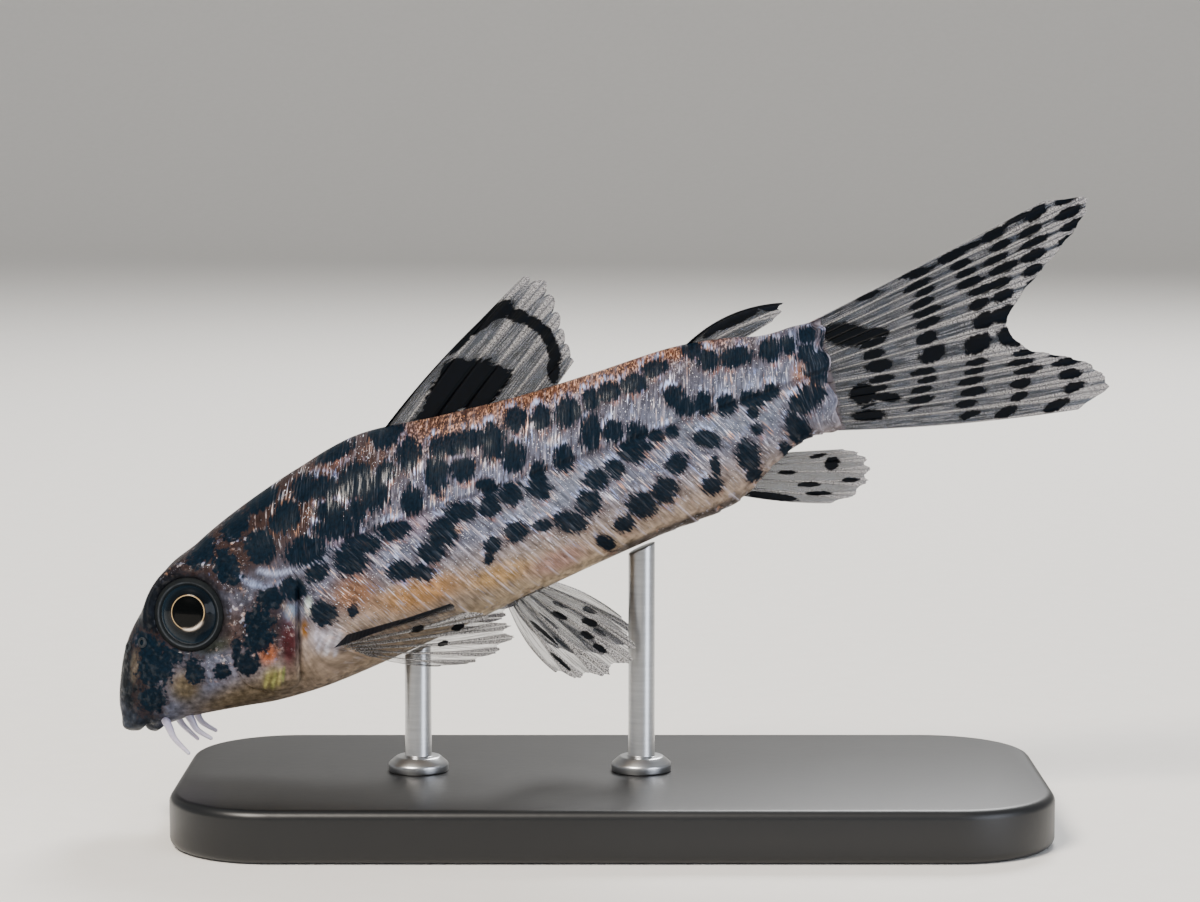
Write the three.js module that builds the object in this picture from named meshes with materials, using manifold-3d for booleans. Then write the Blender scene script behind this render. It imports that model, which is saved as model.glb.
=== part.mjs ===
// A small armoured catfish as a still, life-size display model, nose down as if it were feeding.
// Millimetres, +Z up. The fish faces -X, its left side faces -Y, and the underside of the stand is Z = 0.
//
// The fish is drawn in its own frame, which a turned group then tips and lifts: s runs from the snout to
// the tail, h runs up, and y runs across. Every fin, barbel and eye is placed on the body's own surface.

import * as THREE from 'three';
import { mergeVertices } from 'three/addons/utils/BufferGeometryUtils.js';
import Module from 'manifold-3d';

const wasm = await Module();
wasm.setup();

// Driving dimensions.
const GAP = 0.3; // between pieces that touch on the real animal
const TILT = THREE.MathUtils.degToRad(23); // the body's axis above the horizontal
const SNOUT_X = -18.605; // the snout's place, which centres the whole length on X = 0
const SNOUT_Z = 4.4; // and holds the barbels just clear of the base
const COLUMNS = 32; // faces round the body
const CHEVRON = 0.42; // how far a plate's edge falls back for each millimetre above or below the side line
const GILL_S = 7.36; // where the gill slit crosses h = 0
const GILL_SLOPE = 0.45; // how far the gill slit leans back for each millimetre up
const PLATE_START = 10.1; // the first body plate on the side line
const PLATE_PITCH = 0.92;
const TRUNK_PLATES = 14;
const TAIL_PLATES = 7;
const PLATE_RISE = 0.13; // a plate's rear edge above the next plate
const PLATE_STEP = 0.05; // the length of the step down to the next plate
const EYE = { s: 4.08, h: 2.61, radius: 1.2, depth: 0.78, bulge: 0.2, pupil: 0.52 };
const SHIELD = { rings: 5, rise: 0.14 }; // the bony shield between the gill slit and the first plate
const COVER = { topH: 2.15, bottomH: -1.45, width: 2.5, thickness: 0.52, proud: 0.02, flare: 0.14 };
const FIN = { half: 0.25, tipHalf: 0.1, rise: 0.08, raySpread: 0.17, notch: 0.05 }; // membrane and rays
const FIN_STEPS = [0, 0.18, 0.36, 0.54, 0.7, 0.84, 0.94, 1]; // shares of a ray's length
const BARBEL = { root: 0.25, tip: 0.1 }; // radii
const BASE = { length: 33, width: 15, height: 2, corner: 4, bevel: 0.35 };
const ROD = { radius: 0.5, footRadius: 1.15, footHeight: 0.5, front: 11.2, rear: 20.6 };

// The body's stations from snout to tail fin: where the back and the belly are, how high the side line
// runs, the half width, and how square the section is above and below the side line (2 is round).
const STATIONS = [
  // backS, backH, bellyS, bellyH, sideH, halfWidth, squareUp, squareDown
  [-0.16, -0.15, -0.14, -0.6, -0.36, 0.34, 2.0, 2.0], // front of the lip
  [-0.08, 0.34, 0.0, -0.88, -0.3, 0.8, 2.1, 2.2],
  [0.25, 1.05, 0.5, -1.06, -0.15, 1.16, 2.2, 2.3],
  [0.85, 2.02, 1.2, -1.14, 0.1, 1.52, 2.3, 2.4], // nostrils
  [1.5, 2.74, 2.0, -1.18, 0.45, 1.82, 2.4, 2.4],
  [2.5, 3.48, 3.0, -1.36, 0.9, 2.12, 2.8, 2.4],
  [3.9, 4.28, 4.3, -1.64, 1.4, 2.42, 3.0, 2.5], // eye
  [5.5, 4.93, 5.7, -1.95, 1.9, 2.75, 2.4, 2.6],
  [7.5, 5.48, 7.5, -2.12, 2.5, 3.0, 2.0, 2.8], // gill cover
  [9.8, 5.92, 9.8, -2.12, 2.9, 3.05, 1.9, 3.0], // pectoral fin
  [12.4, 6.2, 12.4, -2.08, 2.8, 2.84, 1.8, 3.0], // front of the dorsal fin
  [15.5, 5.65, 15.5, -1.98, 2.56, 2.5, 1.8, 2.8], // pelvic fin
  [18.5, 5.17, 18.5, -1.88, 2.34, 2.12, 1.8, 2.6],
  [21.5, 4.87, 21.5, -1.82, 2.11, 1.75, 1.8, 2.3],
  [24.5, 4.62, 24.5, -1.8, 1.89, 1.38, 1.8, 2.1], // anal fin
  [26.5, 4.17, 26.5, -1.0, 1.74, 1.12, 1.85, 2.0],
  [28.0, 3.67, 28.0, -0.6, 1.62, 0.92, 1.9, 2.0], // narrowest part of the tail
  [29.4, 3.55, 29.2, -0.76, 1.53, 0.72, 2.0, 2.0],
  [30.8, 3.52, 30.6, -0.92, 1.45, 0.56, 2.0, 2.0],
];

const column = (a, b) => new THREE.SplineCurve(STATIONS.map((row) => new THREE.Vector2(row[a], row[b])));
const backCurve = column(0, 1);
const bellyCurve = column(2, 3);
const sideCurve = column(4, 5);
const squareCurve = column(6, 7);

const { clamp, lerp, smoothstep } = THREE.MathUtils;

// The share of the way along STATIONS whose section is centred on s.
function stationOf(s) {
  let low = 0;
  let high = 1;
  for (let i = 0; i < 26; i++) {
    const mid = (low + high) / 2;
    if ((backCurve.getPoint(mid).x + bellyCurve.getPoint(mid).x) / 2 < s) low = mid;
    else high = mid;
  }
  return (low + high) / 2;
}

function sectionAt(s) {
  const t = stationOf(s);
  const back = backCurve.getPoint(t);
  const belly = bellyCurve.getPoint(t);
  const { x: sideH, y: halfWidth } = sideCurve.getPoint(t);
  const square = squareCurve.getPoint(t);
  const side = belly.clone().lerp(back, (sideH - belly.y) / (back.y - belly.y));
  return { back, belly, side, halfWidth, squareUp: square.x, squareDown: square.y };
}

const power = (x, p) => Math.sign(x) * Math.abs(x) ** p;

// A point of the smooth body. Angle 0 is the back, 90 degrees the fish's right side, 180 the belly.
function smoothPoint(s, angle) {
  const section = sectionAt(s);
  const up = Math.cos(angle) >= 0;
  const square = up ? section.squareUp : section.squareDown;
  const end = up ? section.back : section.belly;
  const reach = Math.abs(Math.cos(angle)) ** (2 / square);
  const middle = section.side.clone().lerp(end, reach);
  return new THREE.Vector3(middle.x, section.halfWidth * power(Math.sin(angle), 2 / square), middle.y);
}

function surfaceNormal(s, angle) {
  const step = 0.05;
  const along = smoothPoint(s + step, angle).sub(smoothPoint(s - step, angle));
  const round = smoothPoint(s, angle + step).sub(smoothPoint(s, angle - step));
  return along.cross(round).normalize();
}

// A point of the body raised by lift along the surface's normal.
function bodyPoint(s, angle, lift = 0) {
  const point = smoothPoint(s, angle);
  return lift === 0 ? point : point.addScaledVector(surfaceNormal(s, angle), lift);
}

// The angle at which the section at s is h high, on the fish's right (side 1) or left (side -1).
function angleAt(s, h, side) {
  const section = sectionAt(s);
  const up = h >= section.side.y;
  const end = up ? section.back.y : section.belly.y;
  const reach = clamp((h - section.side.y) / (end - section.side.y), 0, 1);
  const fromSide = Math.acos(reach ** ((up ? section.squareUp : section.squareDown) / 2));
  return side * (up ? fromSide : Math.PI - fromSide);
}

const sidePoint = (s, h, side, lift = 0) => bodyPoint(s, angleAt(s, h, side), lift);
const backHeight = (s) => smoothPoint(s, 0).z;
const bellyHeight = (s) => smoothPoint(s, Math.PI).z;

// Turns lists of points and triangles into a closed geometry whose faces point out.
function closedGeometry(points, triangles) {
  const position = new Float32Array(points.flatMap((p) => [p.x, p.y, p.z]));
  let volume = 0;
  for (const [a, b, c] of triangles) {
    volume += points[a].dot(new THREE.Vector3().crossVectors(points[b], points[c]));
  }
  const facing = volume < 0 ? triangles.map(([a, b, c]) => [a, c, b]) : triangles;
  const geometry = new THREE.BufferGeometry();
  geometry.setAttribute('position', new THREE.BufferAttribute(position, 3));
  geometry.setIndex(facing.flat());
  return geometry;
}

function toSolid(geometry) {
  const bare = geometry.clone();
  bare.deleteAttribute('normal');
  bare.deleteAttribute('uv');
  const merged = mergeVertices(bare, 1e-4);
  return new wasm.Manifold(new wasm.Mesh({
    numProp: 3,
    vertProperties: merged.attributes.position.array,
    triVerts: new Uint32Array(merged.index.array),
  }));
}

// The largest closed surface of a solid, as a geometry.
function toGeometry(solid) {
  const largest = solid.decompose().sort((a, b) => b.volume() - a.volume())[0];
  const mesh = largest.getMesh();
  const geometry = new THREE.BufferGeometry();
  geometry.setAttribute('position', new THREE.BufferAttribute(mesh.vertProperties, 3));
  geometry.setIndex(new THREE.BufferAttribute(mesh.triVerts, 1));
  return geometry;
}

// Skins a row of rings. A closed end is ruled straight across between the fish's two sides.
function loft(rings, tip) {
  const points = rings.flat();
  const triangles = [];
  const at = (ring, j) => ring * COLUMNS + (j % COLUMNS);
  for (let ring = 0; ring + 1 < rings.length; ring++) {
    for (let j = 0; j < COLUMNS; j++) {
      triangles.push([at(ring, j), at(ring, j + 1), at(ring + 1, j + 1)]);
      triangles.push([at(ring, j), at(ring + 1, j + 1), at(ring + 1, j)]);
    }
  }
  const across = (ring, turn) => {
    for (let j = 0; j < COLUMNS / 2; j++) {
      const quad = [at(ring, j), at(ring, j + 1), at(ring, COLUMNS - j - 1), at(ring, COLUMNS - j)];
      if (turn) quad.reverse();
      const [a, b, c, d] = quad;
      if (new Set([a, b, c]).size === 3) triangles.push([a, b, c]);
      if (new Set([a, c, d]).size === 3) triangles.push([a, c, d]);
    }
  };
  if (tip) {
    points.push(tip);
    for (let j = 0; j < COLUMNS; j++) triangles.push([points.length - 1, at(0, j + 1), at(0, j)]);
  } else {
    across(0, true);
  }
  across(rings.length - 1, false);
  return closedGeometry(points, triangles);
}

const columnAngle = (j) => (2 * Math.PI * j) / COLUMNS;
const gillEdge = (h) => GILL_S + GILL_SLOPE * h;

// The gill slit's s on the column at this angle, found by stepping to where the surface meets the slit.
function gillEdgeAt(angle) {
  let s = GILL_S;
  for (let i = 0; i < 8; i++) s = gillEdge(smoothPoint(s, angle).z);
  return s;
}

// A plate edge that crosses the side line at u. Near the tail fin it turns into the fin's own root line.
function plateEdgeAt(u, angle) {
  const rootSlope = 0.18;
  const towardsFin = smoothstep(u, 26.3, 29.8);
  const side = sectionAt(u).side.y;
  let s = u;
  for (let i = 0; i < 4; i++) {
    const rise = smoothPoint(s, angle).z - side;
    s = u + lerp(CHEVRON * Math.abs(rise), rootSlope * rise, towardsFin);
  }
  return s;
}

// How much of PLATE_RISE a column carries: none on the back's ridge, the side line or the belly's middle.
function plateShare(j, u) {
  const k = j <= COLUMNS / 2 ? j : COLUMNS - j;
  const side = COLUMNS / 4;
  if (k === 0 || k === side) return -0.1;
  const bareBelly = u < 22 ? 3 : 1;
  if (k > COLUMNS / 2 - bareBelly) return 0;
  return 1;
}

// Front and rear rings of overlapping plates, from u on the side line.
function plateRings(u, count) {
  const rings = [];
  for (let plate = 0; plate < count; plate++) {
    const front = u + plate * PLATE_PITCH;
    for (const [edge, rise] of [[front + (plate ? PLATE_STEP : 0), 0], [front + PLATE_PITCH, PLATE_RISE]]) {
      rings.push(Array.from({ length: COLUMNS }, (_, j) => {
        const angle = columnAngle(j);
        return bodyPoint(plateEdgeAt(edge, angle), angle, rise * plateShare(j, edge));
      }));
    }
  }
  return rings;
}

function trunkGeometry() {
  const rings = Array.from({ length: SHIELD.rings }, (_, i) => Array.from({ length: COLUMNS }, (_, j) => {
    const angle = columnAngle(j);
    const share = i / SHIELD.rings;
    const s = lerp(gillEdgeAt(angle) + GAP, plateEdgeAt(PLATE_START, angle), share);
    const crown = Math.sin(Math.PI * clamp(share * 1.15, 0, 1)) * Math.abs(Math.sin(angle));
    return bodyPoint(s, angle, SHIELD.rise * crown);
  }));
  return loft([...rings, ...plateRings(PLATE_START, TRUNK_PLATES)]);
}

function tailGeometry() {
  const start = PLATE_START + TRUNK_PLATES * PLATE_PITCH + GAP;
  return loft(plateRings(start, TAIL_PLATES));
}

const TAIL_END = PLATE_START + (TRUNK_PLATES + TAIL_PLATES) * PLATE_PITCH + GAP;

// The frame of a spot on the fish's side: where it is, and which way is out.
function spotOn(s, h, side) {
  const angle = angleAt(s, h, side);
  const out = surfaceNormal(s, angle);
  const turn = new THREE.Quaternion().setFromUnitVectors(new THREE.Vector3(0, 1, 0), out);
  return { point: smoothPoint(s, angle), out, turn };
}

// The eyes look straight out to the sides, a little forward and up.
function eyeSpot(side) {
  const out = new THREE.Vector3(-0.26, side, 0.14).normalize();
  const turn = new THREE.Quaternion().setFromUnitVectors(new THREE.Vector3(0, 1, 0), out);
  return { point: sidePoint(EYE.s, EYE.h, side), out, turn };
}

// Moves a geometry made about the Y axis so that +Y points out of the fish at a spot, lift above the skin.
function seat(geometry, spot, lift) {
  return geometry.applyQuaternion(spot.turn).translate(
    ...spot.point.clone().addScaledVector(spot.out, lift).toArray(),
  );
}

// A tube of 8 sides along a curve, closed at both ends, with a radius that varies along it.
function tube(points, radiusAt, steps, sides = 8) {
  const curve = new THREE.CatmullRomCurve3(points);
  const frames = curve.computeFrenetFrames(steps, false);
  const rings = [];
  for (let i = 0; i <= steps; i++) {
    const centre = curve.getPointAt(i / steps);
    const radius = radiusAt(i / steps);
    for (let j = 0; j < sides; j++) {
      const angle = (2 * Math.PI * j) / sides;
      rings.push(centre.clone()
        .addScaledVector(frames.normals[i], radius * Math.cos(angle))
        .addScaledVector(frames.binormals[i], radius * Math.sin(angle)));
    }
  }
  const triangles = [];
  for (let i = 0; i < steps; i++) {
    for (let j = 0; j < sides; j++) {
      const next = (j + 1) % sides;
      const [a, b, c, d] = [i * sides + j, i * sides + next, (i + 1) * sides + next, (i + 1) * sides + j];
      triangles.push([a, b, c], [a, c, d]);
    }
  }
  rings.push(curve.getPointAt(0), curve.getPointAt(1).addScaledVector(curve.getTangentAt(1), radiusAt(1)));
  for (let j = 0; j < sides; j++) {
    const next = (j + 1) % sides;
    triangles.push([rings.length - 2, next, j]);
    triangles.push([rings.length - 1, steps * sides + j, steps * sides + next]);
  }
  return closedGeometry(rings, triangles);
}

// The lips and the line between them are bands laid on the snout's own skin: each is given by where it
// crosses the middle and where its corner is, on the front of the snout (h) or the underside (s).
const UPPER_LIP = { middle: -0.52, corner: -0.5, reach: 1.12, radius: 0.27 };
const MOUTH_LINE = { middle: 0.22, corner: 0.62, reach: 0.92, radius: 0.1 };
const LOWER_LIP = { middle: 0.6, corner: 0.86, reach: 0.72, radius: 0.2 };
const ACROSS = [-1, -0.7, -0.35, 0, 0.35, 0.7, 1];

// The point of the snout h high and y across, found by stepping back until the skin is that wide.
function frontPoint(h, y) {
  let s = -0.14;
  while (s < 3 && Math.abs(sidePoint(s, h, 1).y) < Math.abs(y)) s += 0.02;
  return new THREE.Vector3(s, y, h);
}

// The point of the underside at s and y across.
function underPoint(s, y, lift = 0) {
  const { halfWidth, squareDown } = sectionAt(s);
  const angle = Math.PI - Math.asin((Math.abs(y) / halfWidth) ** (squareDown / 2));
  return bodyPoint(s, Math.sign(y || 1) * angle, lift);
}

function lipSolid({ middle, corner, reach, radius }, pointAt) {
  const points = ACROSS.map((share) => pointAt(lerp(middle, corner, share ** 2), share * reach));
  return toSolid(tube(points, (t) => radius * (1 - 0.5 * (2 * t - 1) ** 4), 14));
}

// The anterior nostril is a short raised tube and the posterior one a lower rim, both open inside.
const NOSTRILS = [
  { s: 1.42, h: 2.28, radius: 0.24, lift: 0.12 },
  { s: 2.06, h: 2.3, radius: 0.22, lift: 0.05 },
];

function headGeometry() {
  const snoutEnd = 4.6; // rings run square to the body up to here, then lean towards the gill slit
  const snoutRings = [-0.15, -0.03, 0.15, 0.5, 0.95, 1.45, 2.0, 2.6, 3.2, 3.9, snoutEnd];
  const rearRings = 6;
  const rings = snoutRings.map((s) => (
    Array.from({ length: COLUMNS }, (_, j) => bodyPoint(s, columnAngle(j)))
  ));
  for (let i = 1; i <= rearRings; i++) {
    rings.push(Array.from({ length: COLUMNS }, (_, j) => {
      const angle = columnAngle(j);
      return bodyPoint(lerp(snoutEnd, gillEdgeAt(angle), i / rearRings), angle);
    }));
  }
  let solid = toSolid(loft(rings, new THREE.Vector3(-0.24, 0, -0.38)));
  solid = solid.add(lipSolid(UPPER_LIP, frontPoint)).add(lipSolid(LOWER_LIP, underPoint));
  solid = solid.subtract(lipSolid(MOUTH_LINE, underPoint));
  for (const side of [-1, 1]) {
    const eye = eyeSpot(side);
    const opening = EYE.radius + GAP;
    const foot = -1.3; // the mound's foot is buried in the head
    const rim = -0.12;
    const profile = [[0, foot], [opening + 0.3, foot], [opening + 0.16, -0.25], [opening, rim], [0, rim]];
    const mound = new THREE.LatheGeometry(profile.map(([r, y]) => new THREE.Vector2(r, y)), 28);
    solid = solid.add(toSolid(seat(mound, eye, 0)));
    const socket = new THREE.SphereGeometry(1, 28, 12).scale(opening, EYE.depth + GAP, opening);
    solid = solid.subtract(toSolid(seat(socket, eye, EYE.bulge - EYE.depth)));
    for (const nostril of NOSTRILS) {
      const spot = spotOn(nostril.s, nostril.h, side);
      const height = 0.5 + nostril.lift;
      const wall = new THREE.CylinderGeometry(nostril.radius, nostril.radius * 1.25, height, 12);
      solid = solid.add(toSolid(seat(wall, spot, (nostril.lift - 0.5) / 2)));
      const bore = new THREE.CylinderGeometry(nostril.radius * 0.55, nostril.radius * 0.5, 0.6, 10);
      solid = solid.subtract(toSolid(seat(bore, spot, nostril.lift - 0.1)));
    }
    solid = solid.subtract(toSolid(gillCover(side, { margin: GAP, outer: 1.2, inner: -0.75 })));
  }
  return toGeometry(solid);
}

// A gill cover is a bowed plate: straight along the gill slit behind, rounded in front, and proud of the
// cheek at its free rear edge. A margin makes it into the pocket that the head holds it in.
function gillCover(side, { margin, outer, inner }) {
  const steps = 10;
  const faces = [[], []];
  for (let i = 0; i <= steps; i++) {
    const share = i / steps;
    const h = lerp(COVER.bottomH - margin, COVER.topH + margin, share);
    const rear = gillEdge(h) + (margin ? 1 : -0.04);
    const round = Math.sin(Math.PI * lerp(0.03, 0.95, share)) ** 0.5;
    const front = gillEdge(h) - COVER.width * round - margin;
    for (let j = 0; j <= steps; j++) {
      const s = lerp(front, rear, j / steps);
      const free = margin ? 0 : COVER.flare * (j / steps) ** 1.5;
      faces[0].push(sidePoint(s, h, side, outer + free));
      faces[1].push(sidePoint(s, h, side, inner));
    }
  }
  return slab(faces, steps + 1, steps + 1);
}

// Closes two like grids of points into one body, split into triangles alike on both faces.
function slab([upper, lower], rows, columns) {
  const points = [...upper, ...lower];
  const half = upper.length;
  const triangles = [];
  for (let i = 0; i + 1 < rows; i++) {
    for (let j = 0; j + 1 < columns; j++) {
      const a = i * columns + j;
      const [b, c, d] = [a + 1, a + columns + 1, a + columns];
      triangles.push([a, b, c], [a, c, d], [half + a, half + c, half + b], [half + a, half + d, half + c]);
    }
  }
  const rim = [];
  for (let j = 0; j + 1 < columns; j++) rim.push(j);
  for (let i = 0; i + 1 < rows; i++) rim.push(i * columns + columns - 1);
  for (let j = columns - 1; j > 0; j--) rim.push((rows - 1) * columns + j);
  for (let i = rows - 1; i > 0; i--) rim.push(i * columns);
  rim.forEach((a, i) => {
    const b = rim[(i + 1) % rim.length];
    triangles.push([b, a, half + a], [b, half + a, half + b]);
  });
  return closedGeometry(points, triangles);
}

// Eyeballs are flattened balls with a raised rim round the pupil.
function eyeGeometry(side) {
  const { radius, depth, pupil } = EYE;
  const shares = [0, 0.3, pupil - 0.04, pupil, pupil + 0.06, 0.68, 0.84, 0.95, 1];
  const front = shares.map((r) => {
    const iris = r === pupil ? 0.05 : 0;
    return new THREE.Vector2(r * radius, depth * Math.sqrt(Math.max(0, 1 - r * r)) * 0.96 + iris);
  });
  front[0].x = 0;
  const back = [0.9, 0.7, 0.4, 0].map((r) => new THREE.Vector2(r * radius, -depth * Math.sqrt(1 - r * r)));
  const ball = new THREE.LatheGeometry([...front, ...back].reverse(), 28);
  return seat(ball, eyeSpot(side), EYE.bulge - depth);
}

// A fin's ray bows from its root to its tip, and stands up as a ridge from the membrane between rays.
function finGeometry(rays, { spine = 0, notch = FIN.notch, fitRoot = (p) => p } = {}) {
  const curves = rays.map(({ root, bow, tip }) => {
    const middle = root.clone().lerp(tip, 0.5).add(bow);
    return new THREE.QuadraticBezierCurve3(root, middle, tip);
  });
  const places = rays.flatMap((_, i) => [i - FIN.raySpread, i, i + FIN.raySpread])
    .filter((place) => place >= 0 && place <= rays.length - 1);
  const middles = FIN_STEPS.map((t) => places.map((place) => {
    const ray = Math.min(Math.floor(place), rays.length - 2);
    const between = place - ray;
    const along = t * (1 - notch * Math.sin(Math.PI * between));
    return curves[ray].getPoint(along).lerp(curves[ray + 1].getPoint(along), between);
  }));
  const faces = [[], []];
  FIN_STEPS.forEach((t, i) => places.forEach((place, j) => {
    const beyond = middles[Math.min(i + 1, middles.length - 1)][j];
    const along = beyond.clone().sub(middles[Math.max(i - 1, 0)][j]);
    const last = places.length - 1;
    const across = middles[i][Math.min(j + 1, last)].clone().sub(middles[i][Math.max(j - 1, 0)]);
    const normal = along.cross(across).normalize();
    const taper = smoothstep(t, 0.7, 1);
    const crest = Number.isInteger(place) ? FIN.rise * (1 - 0.6 * t) : 0;
    const stout = place < 0.5 ? spine * (1 - 0.75 * t) : 0;
    const half = lerp(FIN.half + stout, FIN.tipHalf, taper) + crest;
    for (const turn of [0, 1]) {
      const point = middles[i][j].clone().addScaledVector(normal, turn ? -half : half);
      faces[turn].push(t === 0 ? fitRoot(point) : point);
    }
  }));
  return slab(faces, FIN_STEPS.length, places.length);
}

const at = (s, h, y = 0) => new THREE.Vector3(s, y, h);

function dorsalFin() {
  const rays = [
    // root on the back, then the tip
    [13.45, 19.3, 8.72, 0.28],
    [14.3, 20.55, 9.25, 0.25],
    [15.35, 21.2, 8.78, 0.15],
    [16.4, 21.25, 8.05, 0.1],
    [17.4, 21.2, 7.35, 0.05],
    [18.35, 21.1, 6.7, 0.05],
    [19.25, 21.05, 6.1, 0.02],
    [20.1, 21.0, 5.55, 0],
  ].map(([rootS, tipS, tipH, bow]) => ({
    root: at(rootS, backHeight(rootS) + GAP),
    bow: at(-bow * 0.4, bow),
    tip: at(tipS, tipH),
  }));
  return finGeometry(rays, { spine: 0.14, notch: 0.1 });
}

function adiposeFin() {
  const rays = [
    [25.2, 29.2, 4.5, 0.75],
    [26.3, 28.95, 4.2, 0.2],
    [27.4, 28.5, 4.02, 0],
  ].map(([rootS, tipS, tipH, bow]) => ({
    root: at(rootS, backHeight(rootS) + GAP + 0.08),
    bow: at(0, bow),
    tip: at(tipS, tipH),
  }));
  return finGeometry(rays, { spine: 0.1 });
}

function analFin() {
  const rays = [
    [24.95, 27.9, -3.25, -0.18],
    [25.35, 28.85, -3.32, -0.16],
    [25.75, 29.5, -3.02, -0.12],
    [26.1, 29.78, -2.62, -0.08],
    [26.45, 29.82, -2.18, -0.04],
    [26.8, 29.55, -1.8, 0],
    [27.1, 29.1, -1.5, 0],
  ].map(([rootS, tipS, tipH, bow]) => ({
    root: at(rootS, bellyHeight(rootS) - GAP - 0.08),
    bow: at(0, bow),
    tip: at(tipS, tipH),
  }));
  return finGeometry(rays, { spine: 0.03 });
}

// The tail fin is two lobes that meet in a narrow slit above the middle ray.
const tailRoot = (h) => plateEdgeAt(TAIL_END, angleAt(TAIL_END, h, 1)) + GAP + 0.06;

const UPPER_LOBE = [
  [3.36, 39.7, 4.22, -0.04],
  [3.08, 41.2, 3.74, 0.02],
  [2.8, 41.0, 3.2, 0.05],
  [2.53, 40.35, 2.74, 0.06],
  [2.26, 39.4, 2.2, 0.06],
  [2.0, 38.45, 1.72, 0.05],
  [1.76, 37.45, 1.18, 0.04],
  [1.52, 36.65, 0.62, 0.02],
];

const LOWER_LOBE = [
  [1.12, 36.55, 0.12, 0],
  [0.86, 36.95, -0.72, -0.04],
  [0.6, 37.6, -1.12, -0.1],
  [0.34, 38.3, -1.58, -0.15],
  [0.06, 38.95, -2.12, -0.2],
  [-0.22, 39.3, -2.76, -0.25],
  [-0.5, 39.25, -3.3, -0.28],
  [-0.76, 37.9, -3.6, -0.3],
];

function tailLobe(table) {
  const rays = table.map(([rootH, tipS, tipH, bow]) => ({
    root: at(tailRoot(rootH), rootH),
    bow: at(0, bow),
    tip: at(tipS, tipH),
  }));
  return finGeometry(rays, { notch: 0.04 });
}

// Paired fins: the rays' roots lie on the body's surface, and their tips spread out and down.
const PECTORAL = [
  // rootS, rootH, tipS, tipH, tipY, bow
  [9.1, -0.42, 13.57, -0.55, 4.75, 0.08],
  [9.22, -0.57, 14.6, -1.45, 4.7, 0.12],
  [9.33, -0.72, 15.2, -2.15, 4.5, 0.1],
  [9.43, -0.86, 15.15, -2.68, 4.3, 0.08],
  [9.52, -0.99, 14.4, -2.98, 4.1, 0.06],
  [9.6, -1.11, 13.3, -3.0, 3.9, 0.04],
  [9.68, -1.22, 12.0, -2.65, 3.6, 0.02],
];

function pectoralFin(side) {
  const rays = PECTORAL.map(([rootS, rootH, tipS, tipH, tipY, bow]) => ({
    root: sidePoint(rootS, rootH, side, GAP + 0.12),
    bow: at(-0.3, bow, side * 0.8),
    tip: at(tipS, tipH, side * tipY),
  }));
  const fitRoot = (p) => sidePoint(p.x, p.z, side, GAP + 0.12);
  return finGeometry(rays, { spine: 0.12, notch: 0.07, fitRoot });
}

const PELVIC = [
  // rootS, tipS, tipH, tipY
  [15.1, 15.9, -4.7, 2.75],
  [15.42, 16.6, -5.3, 2.65],
  [15.74, 17.6, -5.65, 2.4],
  [16.05, 18.65, -5.6, 2.1],
  [16.36, 19.05, -5.2, 1.8],
  [16.66, 18.75, -4.35, 1.5],
];

function pelvicFin(side) {
  const rootY = 1.0;
  const rays = PELVIC.map(([rootS, tipS, tipH, tipY]) => ({
    root: at(rootS, bellyHeight(rootS) - GAP - 0.02, side * rootY),
    bow: at(0.1, -0.25, side * 0.15),
    tip: at(tipS, tipH, side * tipY),
  }));
  return finGeometry(rays, { spine: 0.04, notch: 0.09 });
}

// Two barbels on each side of the mouth: a long one at its corner, and a short one under the chin. Each
// leaves the skin squarely before it bends.
const BARBELS = {
  corner: { root: [1.22, -0.84], bend: [1.42, -1.7, 1.4], tip: [1.8, -2.36, 1.45] },
  chin: { root: [1.95, -1.18], bend: [2.2, -1.8, 0.75], tip: [2.7, -2.25, 0.8] },
};

function barbel(side, { root, bend, tip }) {
  const [bendPoint, tipPoint] = [bend, tip].map(([s, h, y]) => at(s, h, side * y));
  const points = [sidePoint(...root, side, GAP), sidePoint(...root, side, GAP + 0.3), bendPoint, tipPoint];
  return tube(points, (t) => lerp(BARBEL.root, BARBEL.tip, t ** 1.4), 9);
}

// The stand: a flat base with rounded corners, and two rods whose tops are cut to the belly's slope.
function standBase() {
  const { length, width, height, corner, bevel } = BASE;
  const [x, y] = [length / 2 - bevel, width / 2 - bevel];
  const outline = new THREE.Shape();
  outline.moveTo(-x + corner, -y);
  outline.lineTo(x - corner, -y);
  outline.absarc(x - corner, -y + corner, corner, -Math.PI / 2, 0);
  outline.absarc(x - corner, y - corner, corner, 0, Math.PI / 2);
  outline.absarc(-x + corner, y - corner, corner, Math.PI / 2, Math.PI);
  outline.absarc(-x + corner, -y + corner, corner, Math.PI, 1.5 * Math.PI);
  return new THREE.ExtrudeGeometry(outline, {
    depth: height - 2 * bevel,
    bevelThickness: bevel,
    bevelSize: bevel,
    bevelSegments: 1,
    curveSegments: 6,
  }).translate(0, 0, bevel);
}

const toWorld = ({ s, h }) => ({
  x: SNOUT_X + s * Math.cos(TILT) - h * Math.sin(TILT),
  z: SNOUT_Z + s * Math.sin(TILT) + h * Math.cos(TILT),
});

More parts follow.
